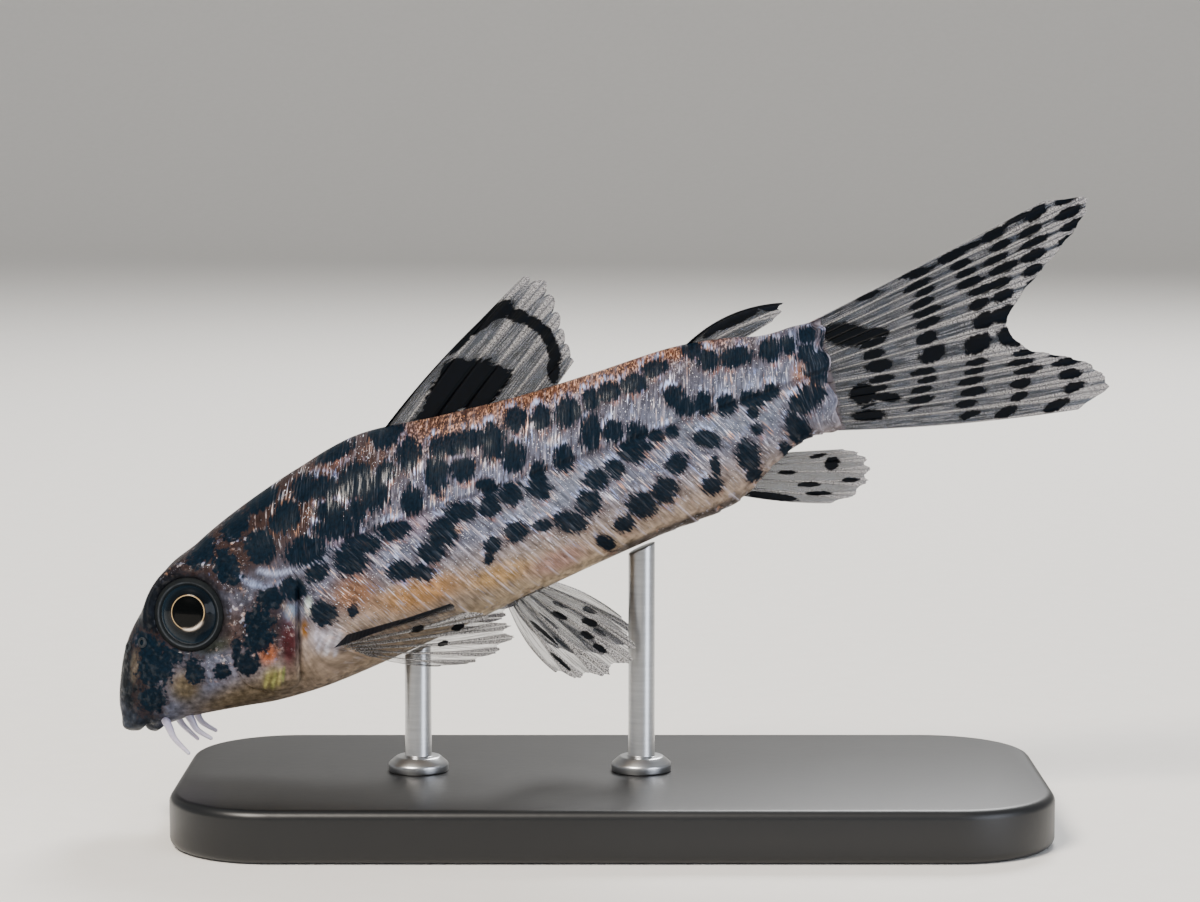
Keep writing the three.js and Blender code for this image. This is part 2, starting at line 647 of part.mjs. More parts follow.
function standRod(s) {
  const belly = toWorld({ s, h: bellyHeight(s) - GAP });
  const ahead = toWorld({ s: s + 0.5, h: bellyHeight(s + 0.5) - GAP });
  const slope = (ahead.z - belly.z) / (ahead.x - belly.x);
  const foot = BASE.height + GAP;
  const rod = new THREE.LatheGeometry([
    new THREE.Vector2(0, 0),
    new THREE.Vector2(ROD.footRadius, 0),
    new THREE.Vector2(ROD.footRadius, ROD.footHeight * 0.6),
    new THREE.Vector2(ROD.footRadius * 0.8, ROD.footHeight),
    new THREE.Vector2(ROD.radius, ROD.footHeight),
    new THREE.Vector2(ROD.radius, belly.z - foot),
    new THREE.Vector2(0, belly.z - foot),
  ], 24).rotateX(Math.PI / 2);
  const place = rod.attributes.position;
  for (let i = 0; i < place.count; i++) {
    const atTop = place.getZ(i) > ROD.footHeight + 0.1;
    if (atTop) place.setZ(i, place.getZ(i) + slope * place.getX(i));
  }
  return rod.translate(belly.x, 0, foot);
}

function piece(name, geometry, color, roughness = 0.5, metalness = 0) {
  const made = new THREE.Mesh(geometry, new THREE.MeshStandardMaterial({ color, roughness, metalness }));
  made.name = name;
  return made;
}

const SKIN = 0x9c8c86;
const CHEEK = 0x6d6466;
const FIN_COLOUR = 0x8f9294;
const BARBEL_COLOUR = 0xb9b4c6;
const EYE_BLACK = 0x14181c;
const RODS = 0xb9b9bb;
const PLINTH = 0x2b2c2e;

const fish = new THREE.Group();
fish.position.set(SNOUT_X, 0, SNOUT_Z);
fish.rotation.y = -TILT;
fish.add(piece('head', headGeometry(), SKIN));
fish.add(piece('trunk', trunkGeometry(), SKIN));
fish.add(piece('tail', tailGeometry(), SKIN));
fish.add(piece('dorsal_fin', dorsalFin(), FIN_COLOUR));
fish.add(piece('adipose_fin', adiposeFin(), FIN_COLOUR));
fish.add(piece('anal_fin', analFin(), FIN_COLOUR));
fish.add(piece('caudal_fin_upper', tailLobe(UPPER_LOBE), FIN_COLOUR));
fish.add(piece('caudal_fin_lower', tailLobe(LOWER_LOBE), FIN_COLOUR));
for (const [name, side] of [['left', -1], ['right', 1]]) {
  const cover = gillCover(side, { margin: 0, outer: COVER.proud, inner: COVER.proud - COVER.thickness });
  fish.add(piece(`gill_cover_${name}`, cover, CHEEK));
  fish.add(piece(`eye_${name}`, eyeGeometry(side), EYE_BLACK, 0.15));
  fish.add(piece(`pectoral_fin_${name}`, pectoralFin(side), FIN_COLOUR));
  fish.add(piece(`pelvic_fin_${name}`, pelvicFin(side), FIN_COLOUR));
  fish.add(piece(`barbel_corner_${name}`, barbel(side, BARBELS.corner), BARBEL_COLOUR));
  fish.add(piece(`barbel_chin_${name}`, barbel(side, BARBELS.chin), BARBEL_COLOUR));
}

const stand = new THREE.Group();
stand.add(piece('stand_base', standBase(), PLINTH, 0.4));
stand.add(piece('stand_rod_front', standRod(ROD.front), RODS, 0.25, 1));
stand.add(piece('stand_rod_rear', standRod(ROD.rear), RODS, 0.25, 1));

const model = new THREE.Group();
model.add(fish, stand);

export default model;
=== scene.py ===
# %% [markdown]
# # A small armoured catfish on its display stand
# The animal is about 39 mm long, so everything here is worked out in millimetres and turned into metres
# at the very end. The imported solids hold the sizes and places. This script dresses them: one skin with
# its bony plates and spots, wet eyes, thin rayed fins, barbels, and the stand.

# %% Load the frame
import math

import bmesh
import bpy
import numpy as np
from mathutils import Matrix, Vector


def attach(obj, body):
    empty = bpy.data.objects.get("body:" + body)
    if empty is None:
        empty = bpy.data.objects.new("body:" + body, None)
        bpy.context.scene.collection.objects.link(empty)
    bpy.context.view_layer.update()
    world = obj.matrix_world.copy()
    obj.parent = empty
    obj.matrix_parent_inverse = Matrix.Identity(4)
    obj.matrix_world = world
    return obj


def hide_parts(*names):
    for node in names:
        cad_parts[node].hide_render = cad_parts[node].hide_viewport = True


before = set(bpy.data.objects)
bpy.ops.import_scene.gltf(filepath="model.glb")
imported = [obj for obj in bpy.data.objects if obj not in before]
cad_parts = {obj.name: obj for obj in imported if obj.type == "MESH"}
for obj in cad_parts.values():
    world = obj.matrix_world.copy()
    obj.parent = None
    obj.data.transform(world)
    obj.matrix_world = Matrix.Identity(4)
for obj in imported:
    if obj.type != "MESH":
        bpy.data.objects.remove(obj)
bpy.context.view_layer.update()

# %% [markdown]
# ## The fish's own frame
# The body is drawn lying level: s runs from the snout to the tail, h runs up and y runs across. A turn of
# 23 degrees then tips the nose down. Working in the level frame keeps every number easy to read against
# the animal, and one function does the turning for all pieces.

# %% From the fish's frame to the scene
TILT = math.radians(23)
SNOUT_X = -18.605
SNOUT_Z = 4.4


def to_scene(points):
    """Points (..., 3) as s, y, h in millimetres become scene metres."""
    points = np.asarray(points, float)
    s, y, h = points[..., 0], points[..., 1], points[..., 2]
    x = SNOUT_X + s * math.cos(TILT) - h * math.sin(TILT)
    z = SNOUT_Z + s * math.sin(TILT) + h * math.cos(TILT)
    return np.stack([x, y, z], -1) / 1000


def smooth(low, high, x):
    """0 below low, 1 above high, and an easy slope between."""
    x = np.clip((np.asarray(x, float) - low) / (high - low), 0, 1)
    return x * x * (3 - 2 * x)


print("tail fin's tip at", to_scene((41.2, 0, 3.74)))

# %% [markdown]
# ## The body's stations
# A fish's body is a row of cross-sections. Each station says where the back and the belly are, how high
# the side line runs, the half width, and how square the section is above and below the side line. A
# spline joins them, the same one that the solids use, so the skin lands on the solids by itself.

# %% Sections of the body
STATIONS = np.array([
    # back s, h, belly s, h, side line h, half width, squareness up, down
    [-0.16, -0.15, -0.14, -0.6, -0.36, 0.34, 2.0, 2.0],
    [-0.08, 0.34, 0.0, -0.88, -0.3, 0.8, 2.1, 2.2],
    [0.25, 1.05, 0.5, -1.06, -0.15, 1.16, 2.2, 2.3],
    [0.85, 2.02, 1.2, -1.14, 0.1, 1.52, 2.3, 2.4],
    [1.5, 2.74, 2.0, -1.18, 0.45, 1.82, 2.4, 2.4],
    [2.5, 3.48, 3.0, -1.36, 0.9, 2.12, 2.8, 2.4],
    [3.9, 4.28, 4.3, -1.64, 1.4, 2.42, 3.0, 2.5],
    [5.5, 4.93, 5.7, -1.95, 1.9, 2.75, 2.4, 2.6],
    [7.5, 5.48, 7.5, -2.12, 2.5, 3.0, 2.0, 2.8],
    [9.8, 5.92, 9.8, -2.12, 2.9, 3.05, 1.9, 3.0],
    [12.4, 6.2, 12.4, -2.08, 2.8, 2.84, 1.8, 3.0],
    [15.5, 5.65, 15.5, -1.98, 2.56, 2.5, 1.8, 2.8],
    [18.5, 5.17, 18.5, -1.88, 2.34, 2.12, 1.8, 2.6],
    [21.5, 4.87, 21.5, -1.82, 2.11, 1.75, 1.8, 2.3],
    [24.5, 4.62, 24.5, -1.8, 1.89, 1.38, 1.8, 2.1],
    [26.5, 4.17, 26.5, -1.0, 1.74, 1.12, 1.85, 2.0],
    [28.0, 3.67, 28.0, -0.6, 1.62, 0.92, 1.9, 2.0],
    [29.4, 3.55, 29.2, -0.76, 1.53, 0.72, 2.0, 2.0],
    [30.8, 3.52, 30.6, -0.92, 1.45, 0.56, 2.0, 2.0],
])


def spline(rows, t):
    """A Catmull-Rom spline through rows, read at shares t of its length."""
    last = len(rows) - 1
    place = np.clip(t, 0, 1) * last
    i = np.minimum(place.astype(int), last - 1)
    f = (place - i)[..., None]
    p0, p1 = rows[np.maximum(i - 1, 0)], rows[i]
    p2, p3 = rows[i + 1], rows[np.minimum(i + 2, last)]
    v0, v1 = (p2 - p0) / 2, (p3 - p1) / 2
    return (2 * p1 - 2 * p2 + v0 + v1) * f**3 + (3 * p2 - 3 * p1 - 2 * v0 - v1) * f**2 + v0 * f + p1


SHARES = np.linspace(0, 1, 6001)
MIDDLES = spline(STATIONS, SHARES)[:, [0, 2]].mean(-1)


def section(s):
    """The station's eight numbers at s."""
    return spline(STATIONS, np.interp(s, MIDDLES, SHARES))


def body(s, angle):
    """A point of the smooth body. Angle 0 is the back, 90 degrees the right side, 180 the belly."""
    s, angle = np.broadcast_arrays(np.asarray(s, float), np.asarray(angle, float))
    back_s, back_h, belly_s, belly_h, side_h, half, up, down = np.moveaxis(section(s), -1, 0)
    share = (side_h - belly_h) / (back_h - belly_h)
    side_s = belly_s + (back_s - belly_s) * share
    above = np.cos(angle) >= 0
    square = np.where(above, up, down)
    reach = np.abs(np.cos(angle)) ** (2 / square)
    along = side_s + (np.where(above, back_s, belly_s) - side_s) * reach
    high = side_h + (np.where(above, back_h, belly_h) - side_h) * reach
    across = half * np.sign(np.sin(angle)) * np.abs(np.sin(angle)) ** (2 / square)
    return np.stack([along, across, high], -1)


def angle_at(s, h, side):
    """The angle at which the section at s is h high, on the right (side 1) or the left (side -1)."""
    _, back_h, _, belly_h, side_h, _, up, down = np.moveaxis(section(np.asarray(s, float)), -1, 0)
    above = h >= side_h
    reach = np.clip((h - side_h) / (np.where(above, back_h, belly_h) - side_h), 0, 1)
    turn = np.arccos(reach ** (np.where(above, up, down) / 2))
    return side * np.where(above, turn, np.pi - turn)


def flank(s, h, side, lift=0.0):
    """A point of the body's side at s and h, raised by lift along the surface's normal."""
    angle = angle_at(s, h, side)
    step = 0.05
    along = body(s + step, angle) - body(s - step, angle)
    around = body(s, angle + step) - body(s, angle - step)
    out = np.cross(along, around)
    out /= np.linalg.norm(out, axis=-1, keepdims=True)
    return body(s, angle) + np.asarray(lift)[..., None] * out, out


print("widest half width", round(float(section(np.linspace(0, 30, 400))[:, 5].max()), 2), "mm")

# %% [markdown]
# ## A clean start for each piece
# Loading leaves every solid selected, and an edit-mode operator acts on all that is selected. These
# helpers start a piece with nothing else selected, pick vertices, edges or faces by a rule, and finish
# it: faces turned outwards, smooth shading with crisp edges only where they are sharp.

# %% Helpers to start, pick and finish
def start(name):
    """Names the primitive just added and goes into edit mode with all of it selected."""
    piece = bpy.context.object
    piece.name = name
    piece.data.name = name
    bpy.ops.object.mode_set(mode="EDIT")
    bpy.ops.mesh.select_all(action="SELECT")
    return piece


def clear():
    """Leaves edit mode and deselects everything."""
    if bpy.context.object and bpy.context.object.mode != "OBJECT":
        bpy.ops.object.mode_set(mode="OBJECT")
    bpy.ops.object.select_all(action="DESELECT")


def pick(kind, rule):
    """Selects the vertices, edges or faces of the mesh in edit mode that the rule is true for."""
    bpy.ops.mesh.select_mode(type={"verts": "VERT", "edges": "EDGE", "faces": "FACE"}[kind])
    bpy.ops.mesh.select_all(action="DESELECT")
    mesh = bmesh.from_edit_mesh(bpy.context.object.data)
    chosen = [item for item in getattr(mesh, kind) if rule(item)]
    for item in chosen:
        item.select_set(True)
    mesh.select_flush_mode()
    bmesh.update_edit_mesh(bpy.context.object.data)


def places(piece):
    """The vertices' places as an array."""
    found = np.zeros(len(piece.data.vertices) * 3)
    piece.data.vertices.foreach_get("co", found)
    return found.reshape(-1, 3)


def place(piece, points):
    """Moves the vertices to these places."""
    piece.data.vertices.foreach_set("co", np.ascontiguousarray(points, np.float32).ravel())
    piece.data.update()


def note(piece, name, values, kind="FLOAT"):
    """Writes one value for each vertex, which a material can read by its name."""
    layer = piece.data.attributes.new(name, kind, "POINT")
    field = {"FLOAT": "value", "FLOAT_VECTOR": "vector", "FLOAT_COLOR": "color"}[kind]
    layer.data.foreach_set(field, np.ascontiguousarray(values, np.float32).ravel())


def apply(piece, kind, **settings):
    """Adds a modifier and applies it."""
    bpy.context.view_layer.objects.active = piece
    modifier = piece.modifiers.new(kind, kind)
    for key, value in settings.items():
        setattr(modifier, key, value)
    bpy.ops.object.modifier_apply(modifier=modifier.name)


def finish(piece, material, slot, *nodes, crisp=40):
    """Turns faces out, shades, and hands the piece to the frame."""
    clear()
    bpy.context.view_layer.objects.active = piece
    piece.select_set(True)
    bpy.ops.object.mode_set(mode="EDIT")
    bpy.ops.mesh.select_all(action="SELECT")
    bpy.ops.mesh.normals_make_consistent(inside=False)
    bpy.ops.object.mode_set(mode="OBJECT")
    bpy.ops.object.shade_smooth_by_angle(angle=math.radians(crisp))
    piece.data.materials.clear()
    piece.data.materials.append(material)
    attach(piece, "root")
    if nodes:
        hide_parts(*nodes)
    print(piece.name, len(piece.data.polygons), "faces")
    return piece


clear()

# %% [markdown]
# ## Colours and nodes
# Colours are written as they look on a screen, in sRGB, and one function turns them into the linear
# values that the renderer works with. One small function feeds a node's inputs: a number or a colour is
# typed into the socket and a node is linked to it. Another adds a shader node, and the colour stops of a
# ramp where it has them, which keeps each material to a few readable lines.

# %% Colour and node helpers
def rgb(code, alpha=1.0):
    """An sRGB hex colour as linear values."""
    parts = [int(code[i:i + 2], 16) / 255 for i in (1, 3, 5)]
    linear = [c / 12.92 if c <= 0.04045 else ((c + 0.055) / 1.055) ** 2.4 for c in parts]
    return (*linear, alpha)


def feed(tree, node, inputs):
    """Sets a node's inputs. Numbers and colours are typed in, and a node or its output is linked."""
    for key, value in inputs.items():
        if isinstance(value, bpy.types.Node):
            value = value.outputs[0]
        if isinstance(value, bpy.types.NodeSocket):
            tree.links.new(value, node.inputs[key])
        else:
            node.inputs[key].default_value = value


def add(tree, kind, inputs=None, stops=(), **settings):
    """Adds a shader node with its inputs and settings. Stops are a ramp's (place, colour code) pairs."""
    made = tree.nodes.new("ShaderNode" + kind)
    for key, value in settings.items():
        setattr(made, key, value)
    feed(tree, made, inputs or {})
    if stops:
        ends = made.color_ramp.elements
        for end, (at, code) in ((0, stops[0]), (1, stops[-1])):
            ends[end].position, ends[end].color = at, rgb(code)
        for at, code in stops[1:-1]:
            ends.new(at).color = rgb(code)
    return made


def material(name):
    """A new material, its node tree and its shader."""
    made = bpy.data.materials.new(name)
    made.use_nodes = True
    return made, made.node_tree, made.node_tree.nodes["Principled BSDF"]

# %% [markdown]
# ## One tube, many pieces
# A body, a barbel and an eyelid are all tubes with something done to them. The tube is started as a
# circle and extruded ring by ring along a straight line, then its lengthwise edges are subdivided. While
# it is straight, each vertex's place tells its row and its column, so it can then be laid on any curve.

# %% A straight tube whose rows and columns are known
def straight_tube(name, rows, columns):
    """A tube of rows rings, 1 apart along X, with its ends closed to points. Gives row and column."""
    clear()
    bpy.ops.mesh.primitive_circle_add(vertices=columns, radius=1.0, rotation=(0, math.pi / 2, 0))
    piece = bpy.context.object
    bpy.ops.object.transform_apply(location=True, rotation=True, scale=True)
    start(name)
    stride = next(n for n in range(int(math.sqrt(rows)) + 4, 0, -1) if (rows - 1) % n == 0)
    for _ in range((rows - 1) // stride):
        bpy.ops.mesh.extrude_region_move(TRANSFORM_OT_translate={"value": (stride, 0, 0)})
    if stride > 1:
        pick("edges", lambda edge: abs(edge.verts[0].co.x - edge.verts[1].co.x) > 0.5)
        bpy.ops.mesh.subdivide(number_cuts=stride - 1)
    for end, out in ((0, -1), (rows - 1, 1)):
        pick("verts", lambda vert: abs(vert.co.x - end) < 0.25)
        bpy.ops.mesh.extrude_region_move(TRANSFORM_OT_translate={"value": (out, 0, 0)})
        bpy.ops.mesh.merge(type="CENTER")
    bpy.ops.object.mode_set(mode="OBJECT")
    flat = places(piece)
    row = np.round(flat[:, 0]).astype(int)
    turn = np.arctan2(flat[:, 1], flat[:, 2]) % (2 * np.pi)
    column = np.round(turn / (2 * np.pi) * columns).astype(int) % columns
    return piece, row, column


# %% [markdown]
# ## Where the skin's rows run
# The rows follow the animal's own lines. They stand square on the snout, lean until they lie along the
# gill slit, and from there each bony plate gets nine of them. A plate's free rear edge can then be a
# crisp step instead of a blur, because two rows lie on either side of it.

# %% Rows and columns of the skin
GILL_S, GILL_SLOPE = 7.36, 0.45  # where the slit crosses h = 0, and how far it leans back
PLATE_START, TAIL_END, PLATES = 10.1, 29.78, 21
PITCH = (TAIL_END - PLATE_START) / PLATES
CHEVRON = 0.42  # how far a plate edge sweeps back for each mm above or below the side line
SNOUT_END = 4.6
SCALLOP = 0.14  # mm, on the last plate's edge over the tail fin


def gill_edge(angle):
    """Where the gill slit's line meets this angle."""
    s = np.full(np.shape(angle), GILL_S)
    for _ in range(10):
        s = GILL_S + GILL_SLOPE * body(s, angle)[..., 2]
    return s


def plate_edge(u, angle):
    """Where a plate edge that crosses the side line at u meets this angle: a chevron, point forward."""
    u, angle = np.broadcast_arrays(np.asarray(u, float), np.asarray(angle, float))
    towards_fin = smooth(26.3, 29.8, u)
    side_h = body(u, np.pi / 2)[..., 2]
    s = u
    for _ in range(5):
        rise = body(s, angle)[..., 2] - side_h
        s = u + CHEVRON * np.abs(rise) * (1 - towards_fin) + 0.18 * rise * towards_fin
    return s


snout = np.concatenate([np.linspace(-0.15, 0.6, 15)[:-1], np.linspace(0.6, SNOUT_END, 54)])
cheek = np.linspace(0, 1, 45)[1:]
shield = np.linspace(0, 1, 33)[1:-1]
plate_shares = np.array([0.03, 0.14, 0.26, 0.38, 0.5, 0.62, 0.74, 0.86, 0.96])
plates = np.arange(PLATES).repeat(len(plate_shares)) + np.tile(plate_shares, PLATES)
KIND = np.repeat([0, 1, 2, 3], [len(snout), len(cheek), len(shield), len(plates)])
VALUE = np.concatenate([snout, cheek, shield, plates])
print("rows of the skin", len(VALUE))


def row_line(row, angle):
    """s of a row of the skin at an angle."""
    kind, value = KIND[row], VALUE[row]
    gill, first = gill_edge(angle), plate_edge(PLATE_START, angle)
    head_s = SNOUT_END + (gill - SNOUT_END) * value
    shield_s = gill + (first - gill) * value
    plate_s = plate_edge(PLATE_START + value * PITCH, angle)
    plate_s = plate_s + SCALLOP * np.cos(9 * angle) * smooth(PLATES - 1, PLATES, value)
    return np.select([kind == 0, kind == 1, kind == 2], [value, head_s, shield_s], plate_s)


UPPER, LOWER = 52, 40  # columns from the back to the side line, and from there to the belly
COLUMNS = 2 * (UPPER + LOWER)


def even_angles():
    """For each row, the angles that space its columns evenly over the skin, back to belly."""
    tries = np.concatenate([np.linspace(0, np.pi / 2, 91), np.linspace(np.pi / 2, np.pi, 91)[1:]])
    table = np.zeros((len(VALUE), UPPER + LOWER + 1))
    for row in range(len(VALUE)):
        line = body(row_line(np.full(tries.shape, row), tries), tries)
        run = np.concatenate([[0], np.cumsum(np.linalg.norm(np.diff(line, axis=0), axis=-1))])
        middle = run[90]
        marks = np.concatenate([np.linspace(0, middle, UPPER + 1),
                                np.linspace(middle, run[-1], LOWER + 1)[1:]])
        table[row] = np.interp(marks, run, tries)
    return table


ANGLES = even_angles()
print("columns", COLUMNS)

# %% [markdown]
# ## The skin's form
# The skin is one closed piece from lips to tail root, and takes the place of the solids of the head,
# gill covers, trunk and tail. It could be sculpted with brushes, but a display model's maker would work
# from drawings, so each feature is a small raise along the surface: plates that overlap like roof tiles,
# a bowed shield behind the gill slit, the mound that carries each eye, lips, and the folds round them.

# %% Lay the skin on the sections
skin, row, column = straight_tube("skin", len(VALUE), COLUMNS)
inside = (row >= 0) & (row < len(VALUE))
mirrored = column > UPPER + LOWER
half_column = np.where(mirrored, COLUMNS - column, column)
side = np.where(mirrored, -1, 1)
safe_row = np.clip(row, 0, len(VALUE) - 1)
angle = ANGLES[safe_row, half_column]
s_line = row_line(safe_row, angle)
smooth_points = body(s_line, angle)
smooth_points[:, 1] *= side
signed_angle = angle * side

step = 0.02
along = body(s_line + step, signed_angle) - body(s_line - step, signed_angle)
around = body(s_line, signed_angle + step) - body(s_line, signed_angle - step)
out = np.cross(along, around)
length = np.linalg.norm(out, axis=1, keepdims=True)
out = np.where(length > 1e-9, out / np.maximum(length, 1e-9), [[-1.0, 0, 0]])
print("vertices", len(row))

# %% Plates, shield and gill covers
PLATE_RISE, SIDE_GROOVE, SHIELD_RISE, SLIT_DEPTH = 0.045, 0.07, 0.14, 0.2  # mm
s, _, h = smooth_points.T
kind, value = KIND[safe_row], VALUE[safe_row]
side_h = body(s_line, np.pi / 2)[:, 2]
rise = h - side_h
from_back = np.degrees(angle)
off_side = np.abs(h - side_h)

on_plates = kind == 3
plate_share = np.where(on_plates, value % 1, 0)
ridge = smooth(3, 12, from_back)
seam = smooth(0.03, 0.2, off_side)
bare_belly = 1 - smooth(146, 160, from_back) * (1 - smooth(21, 23, s))
plate_weight = ridge * seam * bare_belly * (1 - 0.6 * smooth(0.3, 1.2, rise))
lift = np.where(on_plates, PLATE_RISE * smooth(0.0, 0.9, plate_share) * plate_weight, 0.0)
lift -= np.where(on_plates, SIDE_GROOVE * (1 - seam) * smooth(0, 1, value), 0.0)

crown = np.sin(np.pi * np.clip(value * 1.15, 0, 1)) * np.abs(np.sin(angle))
lift += np.where(kind == 2, SHIELD_RISE * crown, 0.0)

gill = gill_edge(angle)
before_slit = gill - s
COVER_TOP, COVER_BOTTOM, COVER_WIDTH = 2.15, -1.45, 2.5
cover_share = np.clip((h - COVER_BOTTOM) / (COVER_TOP - COVER_BOTTOM), 0, 1)
cover_width = COVER_WIDTH * np.sqrt(np.sin(np.pi * (0.03 + 0.92 * cover_share)))
in_height = smooth(COVER_BOTTOM - 0.15, COVER_BOTTOM + 0.25, h)
in_height = in_height * (1 - smooth(COVER_TOP - 0.3, COVER_TOP + 0.15, h))
in_cover = in_height * (1 - smooth(cover_width - 0.12, cover_width + 0.05, before_slit)) * (kind < 2)
lift += 0.05 * in_cover + 0.13 * in_cover * (1 - np.clip(before_slit / COVER_WIDTH, 0, 1)) ** 2
lift -= 0.07 * in_height * np.exp(-((before_slit - cover_width - 0.08) / 0.09) ** 2) * (kind < 2)
slit = in_height * np.exp(-((s - gill) / 0.26) ** 2) * (kind == 2)
lift -= SLIT_DEPTH * slit
print("highest plate edge", round(float(lift.max()), 3), "mm")

# %% [markdown]
# ## Lips, folds and the eye's mound
# The mouth is on the underside. Each lip is a soft roll along a short bow, and the line between them is
# a groove. Distances to these bows are measured in the fish's frame, so both sides come out alike. Round
# each eye the skin is drawn up into a low cone, because the real eye looks straight out to the side while
# the head slopes, and inside the eyelid it dips under the eyeball.

# %% Lips and folds
def distance_to(points, bow):
    """The distance from each point to a bow given as a row of points."""
    nearest = np.full(len(points), 99.0)
    for a, b in zip(bow[:-1], bow[1:]):
        run = b - a
        share = np.clip((points - a) @ run / (run @ run), 0, 1)
        nearest = np.minimum(nearest, np.linalg.norm(points - a - share[:, None] * run, axis=1))
    return nearest


def lip_bow(middle, corner, reach, front):
    """Points across the mouth: on the front of the snout by height, or on the underside by s."""
    bow = []
    for share in np.linspace(-1, 1, 13):
        value = middle + (corner - middle) * share**2
        across = abs(share * reach)
        if front:
            tries = np.linspace(-0.14, 2.5, 600)
            wide = np.abs(flank(tries, np.full(600, value), 1)[0][:, 1])
            s_at = tries[np.argmax(wide >= across)]
            bow.append((s_at, share * reach, value))
        else:
            _, _, _, _, _, half, _, down = section(np.array([value]))[0]
            turn = np.pi - np.arcsin(min(1, (across / half) ** (down / 2)))
            point = body(value, turn)
            bow.append((point[0], math.copysign(point[1], share), point[2]))
    return np.array(bow)


near_mouth = s < 3.0
upper_lip = lip_bow(-0.52, -0.5, 1.12, True)
mouth_line = lip_bow(0.22, 0.62, 0.92, False)
lower_lip = lip_bow(0.6, 0.86, 0.72, False)
to_upper, to_line, to_lower = (np.where(near_mouth, distance_to(smooth_points, bow), 99) for bow in
                               (upper_lip, mouth_line, lower_lip))
lift += 0.16 * np.exp(-(to_upper / 0.27) ** 2) + 0.13 * np.exp(-(to_lower / 0.2) ** 2)
lift -= 0.22 * np.exp(-(to_line / 0.11) ** 2)
corner_fold = np.exp(-((s - 1.55 - 0.25 * (h + 0.5)) / 0.1) ** 2)
corner_fold = corner_fold * smooth(-1.1, -0.8, h) * (1 - smooth(-0.2, 0.2, h))
lift -= 0.05 * corner_fold * near_mouth
cheek_fold = np.exp(-((h - 0.62 - 0.12 * (s - 3)) / 0.09) ** 2)
cheek_fold = cheek_fold * smooth(2.4, 3.0, s) * (1 - smooth(5.2, 6.2, s))
lift -= 0.035 * cheek_fold

SKULL_RIDGES = [
    # bows of s, h points above the gill cover, raised here and silvered later
    ((6.3, 3.4), (6.5, 3.2), (6.86, 2.75), (7.3, 2.45), (7.8, 2.38)),
    ((7.27, 3.13), (7.8, 2.8), (8.3, 2.71), (9.0, 2.62), (9.65, 2.6), (10.0, 2.92)),
]
for bow in SKULL_RIDGES:
    lift += 0.06 * np.exp(-(distance_to(np.stack([s, h], 1), np.array(bow)) / 0.15) ** 2)

form = smooth_points + out * lift[:, None]
thin = np.sqrt(np.clip(1 - np.clip((s - 28.7) / 1.3, 0, 1) ** 2, 0.04, 1))
form[:, 1] *= thin  # the flesh thins out over the tail fin's roots
form[:, 2] = side_h + (form[:, 2] - side_h) * (1 - 0.05 * smooth(28.9, 29.9, s))

# %% The mound and the opening of each eye
EYE_S, EYE_H = 4.08, 2.61
EYE_RADIUS, EYE_DEPTH, EYE_BULGE = 1.23, 0.78, 0.2
CONE_RADII = [0, 1.1, 1.3, 1.42, 1.55, 1.8, 2.2]
CONE_DEPTHS = [-0.75, -0.72, -0.45, -0.22, -0.16, -0.22, -0.42]


def upright(look):
    """The direction that is up as seen along a look, and the one across it."""
    up = np.array([0, 0, 1.0]) - look * look[2]
    up /= np.linalg.norm(up)
    return up, np.cross(up, look)


def lay_on(spot, look, local):
    """Points given across, up and out from a spot on the skin, in the fish's frame."""
    up, across = upright(look)
    return spot + local[:, 2:] * look + local[:, 1:2] * up + local[:, :1] * across


def eye_frame(side):
    """The eye's place on the skin and the way it looks."""
    look = np.array([-0.26, side, 0.14])
    look /= np.linalg.norm(look)
    return flank(np.array([EYE_S]), np.array([EYE_H]), side)[0][0], look


eye_near = np.full(len(s), 9.0)
for eye_side in (-1, 1):
    spot, look = eye_frame(eye_side)
    away = form - spot
    depth = away @ look
    radius = np.linalg.norm(away - depth[:, None] * look, axis=1)
    mine = (np.sign(form[:, 1]) == eye_side) & (radius < 3.2) & (depth > -2.2)
    cone = np.interp(radius, CONE_RADII, CONE_DEPTHS)
    pull = 1 - smooth(1.55, 2.5, radius)
    ring = 0.035 * np.exp(-((radius - 1.95) / 0.1) ** 2) - 0.04 * np.exp(-((radius - 1.76) / 0.07) ** 2)
    new_depth = depth + (cone - depth) * pull + ring
    form = np.where(mine[:, None], form + (new_depth - depth)[:, None] * look, form)
    eye_near = np.where(mine, np.minimum(eye_near, radius), eye_near)

form[row < 0] = (-0.24, 0, -0.38)
form[row >= len(VALUE)] = form[row == len(VALUE) - 1].mean(0) - (0.35, 0, 0)
place(skin, to_scene(form))
print("skin spans", np.round(form.min(0), 2), np.round(form.max(0), 2))
